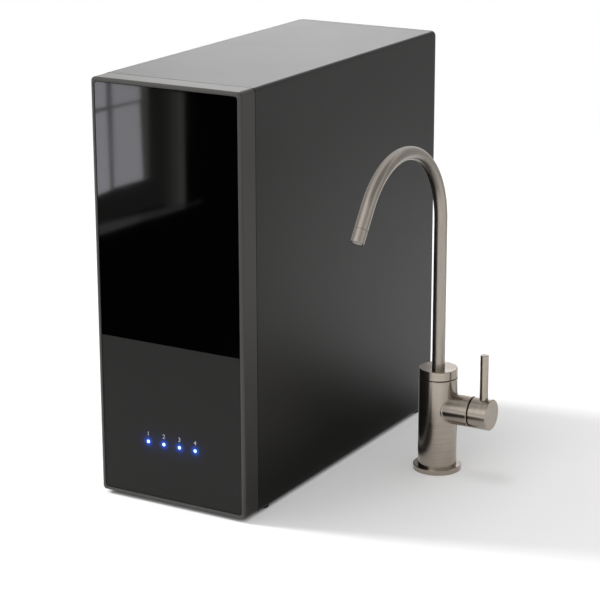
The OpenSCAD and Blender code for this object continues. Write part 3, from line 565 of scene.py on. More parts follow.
def settled(holder: Object) -> Mesh:
    """Keeps an object's evaluated shape as a plain mesh and removes the object.

    Args:
        holder: The object, already in the scene.

    Returns:
        The mesh.
    """
    bpy.context.view_layer.update()
    mesh = bpy.data.meshes.new_from_object(holder.evaluated_get(bpy.context.evaluated_depsgraph_get()))
    holder.modifiers.clear()
    bpy.data.objects.remove(holder)
    return mesh


def written(text: str, height: float) -> Mesh:
    """Makes upright lettering in the XY plane, centred on the origin.

    Args:
        text: What is written.
        height: The capitals' height in metres.

    Returns:
        The lettering's mesh.
    """
    capital_share = 0.7
    curve = bpy.data.curves.new("lettering", "FONT")
    curve.body = text
    curve.size = height / capital_share
    curve.align_x = "CENTER"
    curve.align_y = "CENTER"
    return settled(placed("lettering", curve))


class Pattern:
    """A geometry node tree with named inputs that makes what repeats on a piece."""

    def __init__(self, name: str, inputs: dict[str, type]) -> None:
        """Starts the tree.

        Args:
            name: The tree's name.
            inputs: What each input takes, a whole number or a length, by the input's name.
        """
        kinds = {int: "NodeSocketInt", float: "NodeSocketFloat", Material: "NodeSocketMaterial"}
        self.tree = bpy.data.node_groups.new(name, "GeometryNodeTree")
        self.identifiers = {
            label: self.tree.interface.new_socket(label, in_out="INPUT", socket_type=kinds[kind]).identifier
            for label, kind in {**inputs, "Finish": Material}.items()}
        self.tree.interface.new_socket("Geometry", in_out="OUTPUT", socket_type="NodeSocketGeometry")
        self.book = NodeBook(self.tree)
        self.given = self.book.node("NodeGroupInput").outputs

    def spread(self, points: NodeSocket, piece: NodeSocket,
               turn: NodeSocket | None = None,
               scale: NodeSocket | None = None) -> NodeSocket:
        """Puts one piece on each point.

        Args:
            points: The points.
            piece: The piece.
            turn: Its rotation, as Euler angles.
            scale: Its scale.

        Returns:
            The instances.
        """
        sockets = {"Points": points, "Instance": piece}
        if turn is not None:
            sockets["Rotation"] = self.book.out("FunctionNodeEulerToRotation", {0: turn})
        if scale is not None:
            sockets["Scale"] = scale
        return self.book.out("GeometryNodeInstanceOnPoints", sockets)

    def close(self, geometry: NodeSocket) -> None:
        """Ends the tree with real geometry in its finish.

        Args:
            geometry: What the tree has made.
        """
        real = self.book.out("GeometryNodeRealizeInstances", {0: geometry})
        dressed = self.book.node("GeometryNodeSetMaterial", None, {0: real, "Material": self.given["Finish"]})
        self.book.node("NodeGroupOutput", None, {0: dressed.outputs[0]})

    def mesh(self, name: str, stand: Matrix, finish: Material, **sizes: Any) -> Mesh:
        """Runs the tree and keeps its result as a plain mesh.

        Args:
            name: The mesh's name.
            stand: Where the pattern's own frame stands, in the row frame and in metres.
            finish: The material.
            **sizes: The other inputs by name, with lengths in metres.

        Returns:
            The mesh, in the row frame.
        """
        holder = placed(name, bpy.data.meshes.new(name))
        modifier = holder.modifiers.new("pattern", "NODES")
        modifier.node_group = self.tree
        for label, value in {**sizes, "Finish": finish}.items():
            modifier[self.identifiers[label]] = value
        mesh = settled(holder)
        mesh.name = name
        mesh.transform(stand)
        return mesh


def rib_ring() -> Pattern:
    """Makes the tree of half-round ribs that stand round a ring.

    Returns:
        The pattern; its ring lies in the XY plane.
    """
    pattern = Pattern("rib ring", {"Count": int, "Radius": float, "Rib": float, "Length": float})
    book, given = pattern.book, pattern.given
    ring = book.node("GeometryNodeMeshCircle", None, {"Vertices": given["Count"], "Radius": given["Radius"]})
    rib = book.node("GeometryNodeMeshCylinder", None, {
        "Vertices": 10, "Radius": given["Rib"], "Depth": given["Length"]})
    pattern.close(pattern.spread(ring.outputs[0], rib.outputs[0]))
    return pattern


def wire_screen() -> Pattern:
    """Makes the tree of a round screen of crossed wires.

    Returns:
        The pattern; the screen lies in the XY plane.
    """
    pattern = Pattern("wire screen", {"Count": int, "Radius": float, "Wire": float})
    book, given = pattern.book, pattern.given
    count, radius, thickness = (Value(book, given[label]) for label in ("Count", "Radius", "Wire"))
    pitch = radius * 2.0 / count
    start = book.vector(pitch * 0.5 - radius, 0.0, 0.0)
    line = book.out("GeometryNodeMeshLine", {
        "Count": given["Count"], "Start Location": start, "Offset": book.vector(pitch, 0.0, 0.0)})
    wire = book.node("GeometryNodeMeshCylinder", None, {"Vertices": 6, "Radius": given["Wire"], "Depth": 1.0})
    parts = book.node("ShaderNodeSeparateXYZ", None, {0: book.node("GeometryNodeInputPosition").outputs[0]})
    chord = (radius ** 2.0 - Value(book, parts.outputs[0]) ** 2.0).math("MAXIMUM", 0.0) ** 0.5 * 2.0
    lying = book.vector(math.radians(90.0), 0.0, 0.0)
    wires = pattern.spread(line, wire.outputs[0], lying, book.vector(1.0, 1.0, chord))
    crossing = book.out("GeometryNodeTransform", {
        "Geometry": wires, "Translation": book.vector(0.0, 0.0, thickness * 1.6),
        "Rotation": (0.0, 0.0, math.radians(90.0))})
    joined = book.node("GeometryNodeJoinGeometry")
    for layer in (wires, crossing):
        book.tree.links.new(layer, joined.inputs[0])
    pattern.close(joined.outputs[0])
    return pattern


def part_rows() -> Pattern:
    """Makes the tree of small soldered parts in rows, each of its own size.

    Returns:
        The pattern; the rows lie in the XY plane, with the parts standing on it.
    """
    pattern = Pattern("soldered parts", {
        "Across": float, "Along": float, "Columns": int, "Rows": int, "Seed": int})
    book, given = pattern.book, pattern.given
    grid = book.out("GeometryNodeMeshGrid", {
        "Size X": given["Across"], "Size Y": given["Along"], "Vertices X": given["Columns"],
        "Vertices Y": given["Rows"]})
    drawn = book.node("FunctionNodeRandomValue", {"data_type": "FLOAT_VECTOR"}, {
        "Min": (0.0016, 0.0010, 0.0006), "Max": (0.0040, 0.0024, 0.0018), "Seed": given["Seed"]})
    body = book.out("GeometryNodeMeshCylinder", {"Vertices": 8, "Radius": 0.5, "Depth": 1.0})
    seated = book.node("GeometryNodeTransform", None, {"Geometry": body, "Translation": (0.0, 0.0, 0.5)})
    pattern.close(pattern.spread(grid, seated.outputs[0], None, drawn.outputs[0]))
    return pattern


@dataclass(frozen=True)
class Places:
    """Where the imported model's main pieces stand, in millimetres."""

    case_low: Vector
    case_high: Vector
    case_back: float
    lights: tuple[float, ...]
    lights_z: float
    faucet: tuple[float, float]
    barrel_z: float
    arch_z: float

    @classmethod
    def read(cls) -> "Places":
        """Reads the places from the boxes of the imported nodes.

        Returns:
            The places.
        """
        low, high = box_mm("front_bezel")
        lens_low, lens_high = box_mm("indicator_lenses")
        lens_r = (lens_high.z - lens_low.z) / 2
        pitch = (lens_high.x - lens_low.x - 2 * lens_r) / 3
        flange = sum(box_mm("faucet_flange"), Vector()) / 2
        spout_low, spout_high = box_mm("spout_tube")
        return cls(
            case_low=low,
            case_high=high,
            case_back=box_mm("case_shell")[1].y,
            lights=tuple(lens_low.x + lens_r + pitch * count for count in range(4)),
            lights_z=(lens_low.z + lens_high.z) / 2,
            faucet=(flange.x, flange.y),
            barrel_z=(sum(box_mm("lever_hub"), Vector()) / 2).z,
            arch_z=spout_high.z - (spout_high.x - spout_low.x) / 2 - ARCH_R,
        )


@dataclass(frozen=True)
class Lamp:
    """A wide far lamp; its azimuth goes from the front towards the right, and its angles are in degrees."""

    name: str
    azimuth: float
    elevation: float
    strength: float
    width: float
    on_gloss: bool = True
    on_matt: bool = True

    def build(self) -> None:
        """Adds the lamp, shining towards the object."""
        data = bpy.data.lights.new(self.name, "SUN")
        data.energy = self.strength
        data.angle = math.radians(self.width)
        lamp = placed(self.name, data)
        turn, rise = math.radians(self.azimuth), math.radians(self.elevation)
        away = Vector((math.sin(turn) * math.cos(rise), -math.cos(turn) * math.cos(rise), math.sin(rise)))
        lamp.rotation_mode = "QUATERNION"
        lamp.rotation_quaternion = away.to_track_quat("Z", "Y")
        lamp.visible_glossy = self.on_gloss
        lamp.visible_diffuse = self.on_matt


@dataclass(frozen=True)
class Card:
    """Upright four-cornered cards that stand before the room wall, shine with one colour and are mirrored."""

    name: str
    forward: float
    light: Colour
    shapes: tuple[tuple[Span, Span, Span, Span], ...]


# The room wall and its window, in millimetres along the wall and up it, the nearest cards last
WINDOW = (
    Card("room wall", 0.0, (0.0, 0.0, 0.0), (((-60, 0), (200, 0), (200, 330), (-60, 330)),)),
    Card("window bars", 2.0, (1.9, 1.9, 2.0), (
        ((-31.4, 259.7), (44.5, 242.8), (43.0, 122.0), (-24.7, 102.3)),)),
    Card("window recess", 2.0, (0.27, 0.26, 0.25), (
        ((44.5, 242.8), (64.9, 239.8), (62.7, 86.9), (43.0, 120.7)),
        ((-24.7, 102.3), (43.0, 121.5), (62.7, 86.9), (-24.4, 66.2)))),
    Card("window panes", 4.0, (7.1, 7.05, 7.6), (
        ((-26.1, 255.4), (-9.0, 250.4), (-9.0, 217.7), (-27.4, 214.3)),
        ((-27.6, 208.6), (-8.5, 213.3), (-7.1, 108.1), (-30.9, 98.9)))),
    Card("window panes over a garden", 4.0, (6.6, 6.55, 7.0), (
        ((-2.0, 249.5), (34.5, 244.1), (35.2, 226.3), (-2.2, 218.8)),
        ((-1.4, 215.3), (33.2, 222.5), (35.5, 121.6), (-2.3, 111.2)))),
    Card("window reveal", 4.0, (1.1, 1.2, 1.0), (
        ((33.7, 244.1), (44.5, 239.9), (43.4, 123.8), (35.5, 121.6)),)),
    Card("room column's shaded part", 4.0, (0.42, 0.41, 0.39), (
        ((63.6, 239.8), (73.0, 238.1), (71.5, 85.1), (62.2, 83.7)),)),
    Card("room column", 4.0, (0.72, 0.7, 0.67), (
        ((73.0, 238.1), (81.7, 236.3), (80.4, 87.0), (71.5, 85.1)),)),
    Card("room column's lit part", 4.0, (1.1, 1.07, 1.02), (
        ((81.7, 236.3), (90.4, 234.6), (89.6, 88.9), (80.4, 87.0)),)),
    Card("window sill", 4.0, (1.0, 1.0, 1.03), (((-25.1, 60.9), (30.2, 73.5), (30.0, 64.9), (-25.5, 47.4)),)),
    Card("window sill's far part", 4.0, (0.7, 0.7, 0.72), (
        ((30.2, 73.5), (89.5, 87.6), (89.4, 81.4), (30.0, 64.9)),)),
    Card("window sill's edge", 4.0, (0.4, 0.4, 0.4), (
        ((-24.4, 66.2), (89.6, 88.9), (89.5, 87.6), (-25.1, 60.9)),)),
    Card("window sill's end", 4.0, (0.2, 0.2, 0.2), (
        ((89.5, 87.6), (112.0, 93.8), (112.0, 88.4), (89.4, 81.4)),)))


@dataclass(frozen=True)
class MirroredFloor:
    """The parts of the floor painted darker where the case's side mirrors them than to the camera, in
    millimetres.

    One part is a painted copy of the case's own shadow, the other a painted dimming of the floor ahead of it.
    """

    by_case: Span = (1.0, 1.6)
    shadow_slope: float = 1.68
    shadow_shift: float = 212.0
    shadow_edge: Span = (-30.0, 50.0)
    near_end: Span = (60.0, 130.0)
    near_shift: float = 110.0
    corner: float = 120.0
    back: Span = (230.0, 330.0)
    left: Span = (5.0, 20.0)
    right: Span = (300.0, 420.0)
    ahead_slope: float = 1.65
    ahead_edge: Span = (-250.0, 150.0)
    ahead_front: Span = (-220.0, -120.0)
    ahead_right: Span = (280.0, 520.0)
    ahead_drop: float = 0.5
    right_drop: float = 0.45

    def zones(self, x: Value, y: Value, length: Value, case_x: float) -> tuple[Value, Value]:
        """Gives both parts, for rays long enough to come from the case's side.

        Args:
            x: The floor point's place from left to right.
            y: Its place from front to back.
            length: The ray's length in metres.
            case_x: Where the case's side is, from left to right.

        Returns:
            1 in the shadow and 0 outside it, and how light the floor ahead is.
        """
        by_case = (length / MM / (x - case_x).math("MAXIMUM", 1.0)).ramp(*self.by_case)
        shift = (1.0 - x.ramp(*self.near_end)) * self.near_shift + self.shadow_shift
        shaded = (y - x * self.shadow_slope + shift).ramp(*self.shadow_edge)
        behind = (y + (self.corner - x).math("MAXIMUM", 0.0)).ramp(*self.back)
        shaded = shaded * (1.0 - behind) * x.ramp(*self.left) * (1.0 - x.ramp(*self.right)) * by_case
        ahead = (1.0 - (y - x * self.ahead_slope).ramp(*self.ahead_edge)) * y.ramp(*self.ahead_front)
        light = (1.0 - ahead * self.ahead_drop) * (1.0 - ahead * x.ramp(*self.ahead_right) * self.right_drop)
        return shaded, by_case.pick(1.0, light)


@dataclass
class Studio:
    """The camera, the lamps, the floor and what the glass, the paint and the steel mirror."""

    places: Places
    camera_place: tuple[float, float, float] = (0.9797, -1.7576, 0.7614)
    camera_turn: tuple[float, float, float] = (73.471, 0.1543, 30.236)
    camera_clip: Span = (0.05, 60.0)
    focal_px: float = 2147.2
    frame_px: float = 600.0
    sensor: float = 36.0
    lamps: tuple[Lamp, ...] = (
        Lamp("key", -77.0, 40.0, 2.1, 11.0, on_gloss=False),
        Lamp("overhead", -85.0, 73.0, 0.6, 24.0, on_gloss=False),
        Lamp("fill", -10.0, 40.0, 0.35, 60.0),
        Lamp("sheen", -150.0, 8.5, 0.155, 14.0, on_matt=False))
    ambient: float = 0.5
    floor_half: float = 14.0
    floor_down: float = 0.0002
    floor_white: Span = (700.0, 1700.0)
    floor_albedo: float = 0.84
    floor_lift: float = 0.235
    gap_reach: float = 12.0
    gap_open: Span = (0.12, 0.4)
    mirrored: MirroredFloor = MirroredFloor()
    mirrored_lift: float = 1.15
    mirrored_shade: float = 0.9
    backdrop_ends: tuple[Span, Span, float] = ((-0.05, 1.35), (1.55, 0.75), 1.2)
    backdrop_greys: Span = (0.5, 0.6)
    backdrop_fade: Span = (450.0, 850.0)
    ceiling_edges: tuple[float, float, float, float, float] = (0.2, 4.0, -1.6, 1.2, 2.4)
    ceiling_grey: float = 0.42
    flag_gap: float = 4.0
    wall_foot: Span = (-0.5916, -0.8475)
    wall_away: Span = (-0.577, -0.817)

    def build(self) -> None:
        """Sets up the whole studio."""
        bpy.context.scene.view_settings.view_transform = "Standard"
        self.camera()
        self.world()
        for lamp in self.lamps:
            lamp.build()
        self.floor()
        self.mirrored_room()

    def camera(self) -> None:
        """Places the camera where the photograph was taken from."""
        data = bpy.data.cameras.new("camera")
        data.sensor_width = self.sensor
        data.lens = self.sensor * self.focal_px / self.frame_px
        data.clip_start, data.clip_end = self.camera_clip
        camera = placed("camera", data)
        camera.location = self.camera_place
        camera.rotation_euler = [math.radians(turn) for turn in self.camera_turn]
        bpy.context.scene.camera = camera

    @staticmethod
    def seen(book: NodeBook) -> Value:
        """Gives 1 for a ray that shows the backdrop: camera, glossy or transmitted.

        Args:
            book: The book that reads the ray.

        Returns:
            1 for such a ray, else 0.
        """
        rays = book.node("ShaderNodeLightPath").outputs
        camera, glossy, through = (Value(book, rays[name]) for name in (
            "Is Camera Ray", "Is Glossy Ray", "Is Transmission Ray"))
        return camera.math("MAXIMUM", glossy).math("MAXIMUM", through)

    def world(self) -> None:
        """Makes the world white to look at and plain as a light."""
        world = bpy.data.worlds.new("white room")
        world.use_nodes = True
        bpy.context.scene.world = world
        book = NodeBook(world.node_tree)
        strength = self.seen(book) * (1.0 - self.ambient) + self.ambient
        book.feed(world.node_tree.nodes["Background"], {"Color": (1.0, 1.0, 1.0), "Strength": strength})

    def floor(self) -> None:
        """Adds a white floor that keeps the object's shadow."""
        corners = [(x * self.floor_half, y * self.floor_half, -self.floor_down)
                   for x, y in ((-1, -1), (1, -1), (1, 1), (-1, 1))]
        floor, book, surface = self.unlit("floor", corners)
        seen = self.seen(book)
        x, y, _ = book.object_xyz()
        far = ((x * x + y * y) ** 0.5).ramp(*self.floor_white)
        open_sky = book.node("ShaderNodeAmbientOcclusion", {"samples": 8}, {"Distance": self.gap_reach * MM})
        open_floor = Value(book, open_sky.outputs["AO"]).ramp(*self.gap_open)
        rays = book.node("ShaderNodeLightPath").outputs
        glossy, length = Value(book, rays["Is Glossy Ray"]), Value(book, rays["Ray Length"])
        # painted shadow and dimming of the floor, seen only in glossy rays from the case's side
        shaded, ahead = self.mirrored.zones(x, y, length, self.places.case_high.x)
        kept = (1.0 - shaded * self.mirrored_shade) * ahead
        tone = book.blend(glossy * (1.0 - kept), (self.floor_albedo,) * 3, (0.0, 0.0, 0.0))
        matt = book.out("ShaderNodeBsdfDiffuse", {"Color": tone})
        share = glossy.pick(seen, (1.0 - shaded) * ahead * self.mirrored_lift) * open_floor
        lift = book.out("ShaderNodeEmission", {"Strength": share * self.floor_lift})
        near = book.out("ShaderNodeAddShader", {0: matt, 1: lift})
        plain = book.out("ShaderNodeEmission", {"Strength": glossy.pick(1.0, ahead)})
        mixed = book.out("ShaderNodeMixShader", {0: far * seen, 1: near, 2: plain})
        book.tree.links.new(mixed, surface)

    def mirrored_room(self) -> None:
        """Adds the window, the room and the studio's cards, which only the gloss mirrors."""
        back = self.places.case_back
        dark_floor = [self._wall_point(u, 1.0, v) for u, v in ((-60, 400), (180, 400), (200, 0), (-60, 0))]
        left, right, front, rear, up = self.ceiling_edges
        ceiling = [(left, front, up), (right, front, up), (right, rear, up), (left, rear, up)]
        cards = [self.card(card) for card in WINDOW] + [
            self.glowing("room floor", dark_floor, (0.0, 0.0, 0.0))[0],
            self.backdrop(),
            self.glowing("dim ceiling", ceiling, (self.ceiling_grey,) * 3)[0],
            self.case_flag("pale flag", (255.0, 400.0), (self.places.case_low.y, back), 0.6),
            self.case_flag("low flag", (130.0, 255.0), (110.0, back), 0.36),
            self.case_flag("foot flag", (4.0, 130.0), (60.0, back), 0.3)]
        for piece in cards:
            piece.visible_camera = False
            piece.visible_diffuse = False
            piece.visible_shadow = False
            piece.visible_transmission = False

    def _wall_point(self, along: float, height: float, forward: float) -> Vector:
        """Gives a point of the room wall, from millimetres along it, up it and in front of it.

        Args:
            along: How far along the wall.
            height: How far up the wall.
            forward: How far in front of it.

        Returns:
            The point in metres.
        """
        away = Vector((*self.wall_away, 0.0)).normalized()
        side = Vector((-away.y, away.x, 0.0))
        foot = Vector((*self.wall_foot, height * MM))
        return foot + side * (along * MM) - away * (forward * MM)

    def backdrop(self) -> Object:
        """Adds the grey end of the studio, far behind on the right, that the case's side mirrors.

        Returns:
            The card.
        """
        left, right, top = self.backdrop_ends
        corners = [(*left, 0.0), (*right, 0.0), (*right, top), (*left, top)]
        piece, book, shine, _ = self.glowing("studio end", corners, (1.0, 1.0, 1.0))
        x, _, _ = book.object_xyz()
        dark, light = self.backdrop_greys
        strength = (1.0 - x.ramp(*self.backdrop_fade)) * (light - dark) + dark
        book.feed(shine, {"Strength": strength})
        return piece

    def case_flag(self, name: str, rise: Span, run: Span, grey: float) -> Object:
        """Adds a pale flag at the case's side that the faucet mirrors and the case sees through.

        Args:
            name: The flag's name.
            rise: Its foot's and its top's height, in millimetres.
            run: Where it begins and ends, from front to back.
            grey: How light it is.

        Returns:
            The flag.
        """
        side = self.places.case_high.x + self.flag_gap
        (foot, top), (front, back) = rise, run
        corners = [(side, front, foot), (side, back, foot), (side, back, top), (side, front, top)]
        metres = [Vector(corner) * MM for corner in corners]
        piece, book, shine, surface = self.glowing(name, metres, (grey,) * 3)
        behind = book.node("ShaderNodeNewGeometry").outputs["Backfacing"]
        clear = book.node("ShaderNodeBsdfTransparent").outputs[0]
        mixed = book.out("ShaderNodeMixShader", {0: behind, 1: shine.outputs[0], 2: clear})
        book.tree.links.new(mixed, surface)
        return piece

    def card(self, card: Card) -> Object:
        """Adds one of the window's cards and gives it back."""
        corners = [self._wall_point(u, z, card.forward) for shape in card.shapes for u, z in shape]
        return self.glowing(card.name, corners, card.light)[0]

    @staticmethod
    def unlit(name: str, corners: Sequence[Sequence[float]]) -> tuple[Object, NodeBook, NodeSocket]:
        """Adds four-cornered faces with a material that has no shader yet.

        Args:
            name: The object's name.
            corners: The faces' corners in metres, four for each.

        Returns:
            The object, the book of its material and the socket that takes the shader.
        """
        mesh = bpy.data.meshes.new(name)
        faces = [tuple(range(first, first + 4)) for first in range(0, len(corners), 4)]
        mesh.from_pydata([tuple(corner) for corner in corners], [], faces)
        material = bpy.data.materials.new(name)
        material.use_nodes = True
        nodes = material.node_tree.nodes
        nodes.remove(nodes["Principled BSDF"])
        mesh.materials.append(material)
        return placed(name, mesh), NodeBook(material.node_tree), nodes["Material Output"].inputs["Surface"]

    def glowing(self, name: str, corners: Sequence[Sequence[float]],
                light: Colour) -> tuple[Object, NodeBook, Node, NodeSocket]:
        """Adds four-cornered faces that give off one colour.

        Args:
            name: The object's name.
            corners: The faces' corners in metres, four for each.
            light: What they give off.

        Returns:
            The object, the book of its material, the shining node and the socket that takes the shader.
        """
        piece, book, surface = self.unlit(name, corners)
        shine = book.node("ShaderNodeEmission", None, {"Color": light, "Strength": 1.0})
        book.tree.links.new(shine.outputs[0], surface)
        return piece, book, shine, surface


class Assembly:
    """Pieces that belong together; a look is a finish and the CAD nodes that wear it."""

    looks: tuple[tuple[Finish | str, ...], ...] = ()

    def build(self) -> None:
        """Dresses the CAD nodes."""
        for finish, *nodes in self.looks:
            dress(finish, *nodes)


class CaseAssembly(Assembly):
    """The case, its base pan, feet and rear panel."""

    looks = (
        (Satin("charcoal paint", (0.0125, 0.0122, 0.0112), 0.40, 0.3, 0.0, 0.05, 0.7, 0.005), "case_shell"),
        (Satin("rear moulding", (0.03, 0.03, 0.029), 0.5, 0.4), "rear_panel"),
        (Satin("zinc plate", (0.52, 0.53, 0.55), 0.38, 0.5, 1.0, 0.1, 2.5, 0.002), "base_pan", "rear_screws"),
        (Satin("foot rubber", (0.012, 0.012, 0.012), 0.75, 0.3, 0.0, 0.1, 0.4, 0.01), "feet"))


@dataclass
class FrontCover:
    """The pull-off front with its glass, lower panel and indicator lights."""

    places: Places
    panel_depth: float = 0.8
    ink_proud: float = 0.03
    number_up: float = 7.6
    number_h: float = 4.3
    bezel: Satin = Frame("bezel moulding", (0.043, 0.041, 0.037), 0.40, 0.31, 0.0, 0.05, 0.5, 0.004)
    inner: Satin = Satin("black moulding", (0.014, 0.014, 0.014), 0.55, 0.4)
    studs: Satin = Satin("stud moulding", (0.6, 0.6, 0.58), 0.5, 0.4)

    def build(self) -> None:
        """Dresses the cover and prints its numbers."""
        dress(self.bezel, "front_bezel")
        dress(BackPrintedGlass("black glass"), "glass_panel")
        lights = self.places.lights, self.places.lights_z
        dress(SmokedPanel("smoked panel", *lights), "display_panel")
        dress(LitLens("lit lens", *lights), "indicator_lenses")
        dress(self.inner, "cover_backplate")
        dress(self.studs, "cover_studs")
        self.numbers()

    def numbers(self) -> None:
        """Prints a plain number over each indicator light."""
        book = bmesh.new()
        face = self.places.case_low.y + self.panel_depth - self.ink_proud
        for count, x in enumerate(self.places.lights, start=1):
            digit = written(str(count), self.number_h * MM)
            digit.transform(facing(x, face, self.places.lights_z + self.number_up))
            book.from_mesh(digit)
            bpy.data.meshes.remove(digit)
        mesh = bpy.data.meshes.new("indicator_numbers")
        book.to_mesh(mesh)
        book.free()
        add_piece("indicator_numbers", mesh, Print("pale print").material(), Body.COVER)


@dataclass
class FilterBay(Assembly):
    """Bulkhead, shelf, manifold and the three cartridges."""

    looks = (
        (Satin("white moulding", (0.62, 0.63, 0.63), 0.4, 0.5), "front_bulkhead", "filter_shelf", "manifold"),
        (Satin("cartridge shell", (0.66, 0.68, 0.7), 0.25, 0.5, 0.0, 0.04, 0.6, 0.002),
         "membrane_cartridge", "carbon_cartridge", "polish_cartridge"),
        (Satin("seal rubber", (0.012, 0.012, 0.012), 0.5, 0.4),
         "membrane_seals", "carbon_seals", "polish_seals"),
        (Satin("circuit board", (0.01, 0.1, 0.045), 0.35, 0.5, 0.0, 0.2, 1.2, 0.004), "display_board"))
    grip_h: float = 16.0
    cap_t: float = 2.4
    cap_lip: float = 2.0
    rib_r: float = 0.55
    rib_in: float = 0.2
    rib_short: float = 0.5
    rib_pitch: float = 4.6
    number_h: float = 9.0
    number_out: float = 0.52
    ink_proud: float = 0.05

    def build(self) -> None:
        """Dresses the filter bay and adds what repeats on the cartridges' caps."""
        super().build()
        ribs = rib_ring()
        grip = Satin("cap ribs", (0.6, 0.62, 0.64), 0.35).material()
        ink = Print("grey print", (0.1, 0.11, 0.13)).material()
        for count, body in enumerate((Body.MEMBRANE, Body.CARBON, Body.POLISH), start=1):
            use = body.value.removesuffix("_filter")
            low, high = box_mm(f"{use}_cartridge")
            axis, cap = (low + high) / 2, (high.x - low.x) / 2
            front = low.y + self.grip_h
            mesh = ribs.mesh(
                f"{use}_cap_ribs", facing(axis.x, front + self.cap_t / 2, axis.z), grip,
                Count=round(math.tau * cap / self.rib_pitch), Radius=(cap - self.rib_in) * MM,
                Rib=self.rib_r * MM, Length=(self.cap_t - self.rib_short) * MM)
            add_piece(f"{use}_cap_ribs", mesh, grip, body)
            digit = written(str(count), self.number_h * MM)
            above = axis.z + (cap + self.cap_lip) * self.number_out
            digit.transform(facing(axis.x, front - self.ink_proud, above))
            add_piece(f"{use}_number", digit, ink, body)


@dataclass
class PumpGroup(Assembly):
    """Pump, motor, valves, water tubes and electronics under the cartridges."""

    looks = (
        (Brushed("motor can steel", (0.5, 0.5, 0.52), Lines.ALONG_X, 0.35), "motor_can", "pump_bracket"),
        (Satin("ground steel", (0.6, 0.6, 0.62), 0.25, 0.5, 1.0, 0.05, 0.8, 0.001),
         "motor_bearings", "motor_shaft"),
        (Satin("wound copper", (0.55, 0.24, 0.09), 0.4, 0.5, 1.0, 0.25, 0.6, 0.03), "motor_armature"),
        (Satin("pump moulding", (0.55, 0.56, 0.57), 0.45, 0.5), "pump_head", "inlet_valve", "flush_valve"),
        (Satin("supply housing", (0.015, 0.015, 0.016), 0.5, 0.4), "power_supply"),
        (Satin("sensor moulding", (0.03, 0.12, 0.34), 0.4, 0.5), "flow_sensor"),
        (Satin("control board", (0.012, 0.09, 0.05), 0.35, 0.5, 0.0, 0.25, 1.1, 0.006), "control_board"),
        (Satin("mount rubber", (0.013, 0.013, 0.013), 0.7, 0.3), "pump_mounts"),
        (Satin("water tube", (0.7, 0.71, 0.71), 0.35, 0.5, 0.0, 0.03, 3.0, 0.001),
         "feed_riser", "pump_inlet_tube", "pump_outlet_tube", "drain_riser", "pure_riser"))
    parts: Satin = Satin("soldered parts", (0.05, 0.05, 0.055), 0.4, 0.5, 0.0, 0.5, 2.0, 0.003)
    board_up: float = 7.6
    rows_shift: float = 12.0
    rows_free: Span = (32.0, 16.0)

    def build(self) -> None:
        """Dresses the pump group and adds the control board's small parts."""
        super().build()
        low, high = box_mm("control_board")
        middle = Vector(((low.x + high.x) / 2 + self.rows_shift, (low.y + high.y) / 2, low.z + self.board_up))
        across, along = (high.x - low.x - self.rows_free[0]), (high.y - low.y - self.rows_free[1])
        black = self.parts.material()
        mesh = part_rows().mesh("control_board_parts", Matrix.Translation(middle * MM), black,
                                Across=across * MM, Along=along * MM, Columns=5, Rows=12, Seed=7)
        add_piece("control_board_parts", mesh, black, Body.HOUSING)


@dataclass
class RearConnections:
    """Push-in ports, their release collets and the lead's gland."""

    body: Satin = Satin("port moulding", (0.014, 0.014, 0.014), 0.42, 0.5)
    collet: Satin = Satin("collet moulding", (0.6, 0.61, 0.62), 0.4, 0.5)
    panel_y: float = 182.0
    flange_r: float = 11.5
    flange_t: float = 3.0
    gland_nut_t: float = 4.0
    gland_neck_l: float = 5.0
    gland_neck_r: float = 6.65
    rib_r: float = 0.4
    rib_short: float = 0.4

    def build(self) -> None:
        """Dresses the rear connections and adds the ribs for fingers."""
        dress(self.body, "feed_port", "drain_port", "pure_port", "cable_gland")
        dress(self.collet, "feed_collet", "drain_collet", "pure_collet")
        ribs = rib_ring()
        for use in ("feed", "drain", "pure"):
            self.ribbing(ribs, f"{use}_port", f"{use}_collet", self.flange_r, self.panel_y, self.flange_t, 28)
        self.ribbing(ribs, "cable_gland", "cable_gland", self.gland_neck_r, self.panel_y + self.gland_nut_t,
                     self.gland_neck_l, 18)

    def ribbing(self, ribs: Pattern, name: str, centre: str, radius: float, start: float, length: float,
                count: int) -> None:
        """Adds the ribs round one connection.

        Args:
            ribs: The pattern.
            name: The connection's node.
            centre: The node whose middle gives the axis.
            radius: The radius of the face that carries the ribs.
            start: Where that face begins, from front to back.
            length: Its length.
            count: How many ribs it has.
        """
        axis = sum(box_mm(centre), Vector()) / 2
        finish = self.body.material()
        mesh = ribs.mesh(
            f"{name}_ribs", facing(axis.x, start + length / 2, axis.z), finish, Count=count,
            Radius=radius * MM, Rib=self.rib_r * MM, Length=(length - self.rib_short) * MM)
        add_piece(f"{name}_ribs", mesh, finish, Body.HOUSING)


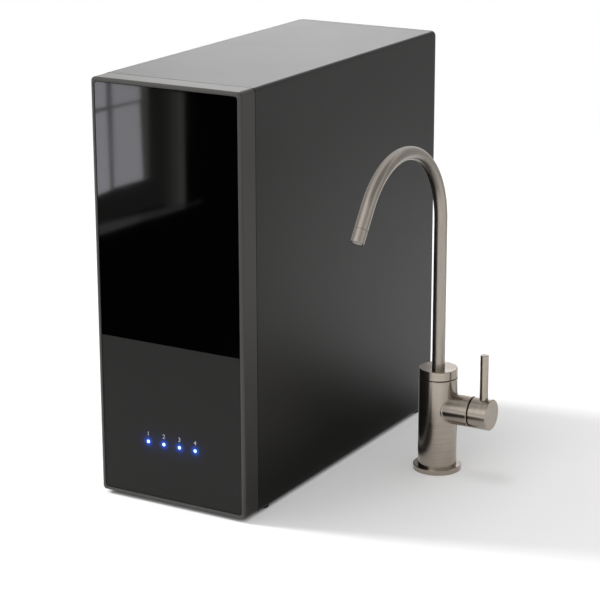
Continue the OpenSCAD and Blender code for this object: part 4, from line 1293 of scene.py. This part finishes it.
@dataclass
class Faucet:
    """The dispensing faucet that stands beside the case."""

    places: Places
    roughness: float = 0.2
    steel: Colour = (0.36, 0.315, 0.27)
    spout_roughness: float = 0.3
    spout_steel: Colour = (0.32, 0.287, 0.253)
    arch_angle: float = 145.8
    tip: float = 35.0
    screen_in: float = 0.8
    screen_r: float = 4.9
    wire_r: float = 0.12

    def brushed(self, name: str, lines: Lines, z: float = 0.0) -> Brushed:
        """Gives brushed steel with its lines round this faucet's axes.

        Args:
            name: The finish's name.
            lines: The way the lines run.
            z: The height that the lines are measured from.

        Returns:
            The finish.
        """
        steel, roughness = self.steel, self.roughness
        if lines is Lines.ALONG_ARCH:
            steel, roughness = self.spout_steel, self.spout_roughness
        return Brushed(name, steel, lines, roughness, (*self.places.faucet, z))

    def screen(self) -> None:
        """Adds the wire screen in the aerator's end."""
        x, y = self.places.faucet
        turn = math.radians(self.arch_angle)
        end = Vector((x, y - ARCH_R * (1.0 - math.cos(turn)), self.places.arch_z + ARCH_R * math.sin(turn)))
        stand = Matrix.Translation(end * MM) @ Matrix.Rotation(turn, 4, "X")
        stand = stand @ Matrix.Translation((0.0, 0.0, (self.tip - self.screen_in) * MM))
        wire = Satin("screen wire", (0.5, 0.49, 0.47), 0.3, 0.5, 1.0, 0.1, 0.3, 0.001).material()
        mesh = wire_screen().mesh("aerator_screen", stand, wire, Count=14, Radius=self.screen_r * MM,
                                  Wire=self.wire_r * MM)
        add_piece("aerator_screen", mesh, wire, Body.SPOUT)

    def build(self) -> None:
        """Dresses the faucet."""
        barrel_z = self.places.barrel_z
        dress(self.brushed("brushed column", Lines.ROUND_BOTH, barrel_z), "faucet_body")
        dress(self.brushed("brushed ring", Lines.ROUND_Z), "faucet_flange", "swivel_collar", "lever_rod")
        dress(self.brushed("brushed spout", Lines.ALONG_ARCH, self.places.arch_z), "spout_tube", "aerator")
        dress(self.brushed("brushed barrel", Lines.ROUND_X, barrel_z), "lever_hub", "valve_spindle")
        self.screen()
        dress(Satin("gasket rubber", (0.012, 0.012, 0.012), 0.7), "faucet_gasket", "spout_seals")
        dress(Satin("ceramic cartridge", (0.55, 0.55, 0.53), 0.4), "valve_cartridge")
        dress(Satin("turned brass", (0.6, 0.42, 0.15), 0.3, 0.5, 1.0, 0.08, 0.8, 0.002), "valve_nut")


def main() -> None:
    """Builds the scene in order."""
    logging.basicConfig(level=logging.INFO, format="%(name)s: %(message)s")
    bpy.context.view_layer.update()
    places = Places.read()
    Studio(places).build()
    for part in (
            CaseAssembly(), FrontCover(places), FilterBay(), PumpGroup(), RearConnections(), Faucet(places)):
        part.build()
        LOG.info("%s dressed", type(part).__name__)
    bpy.context.view_layer.update()


if __name__ == "__main__":
    main()
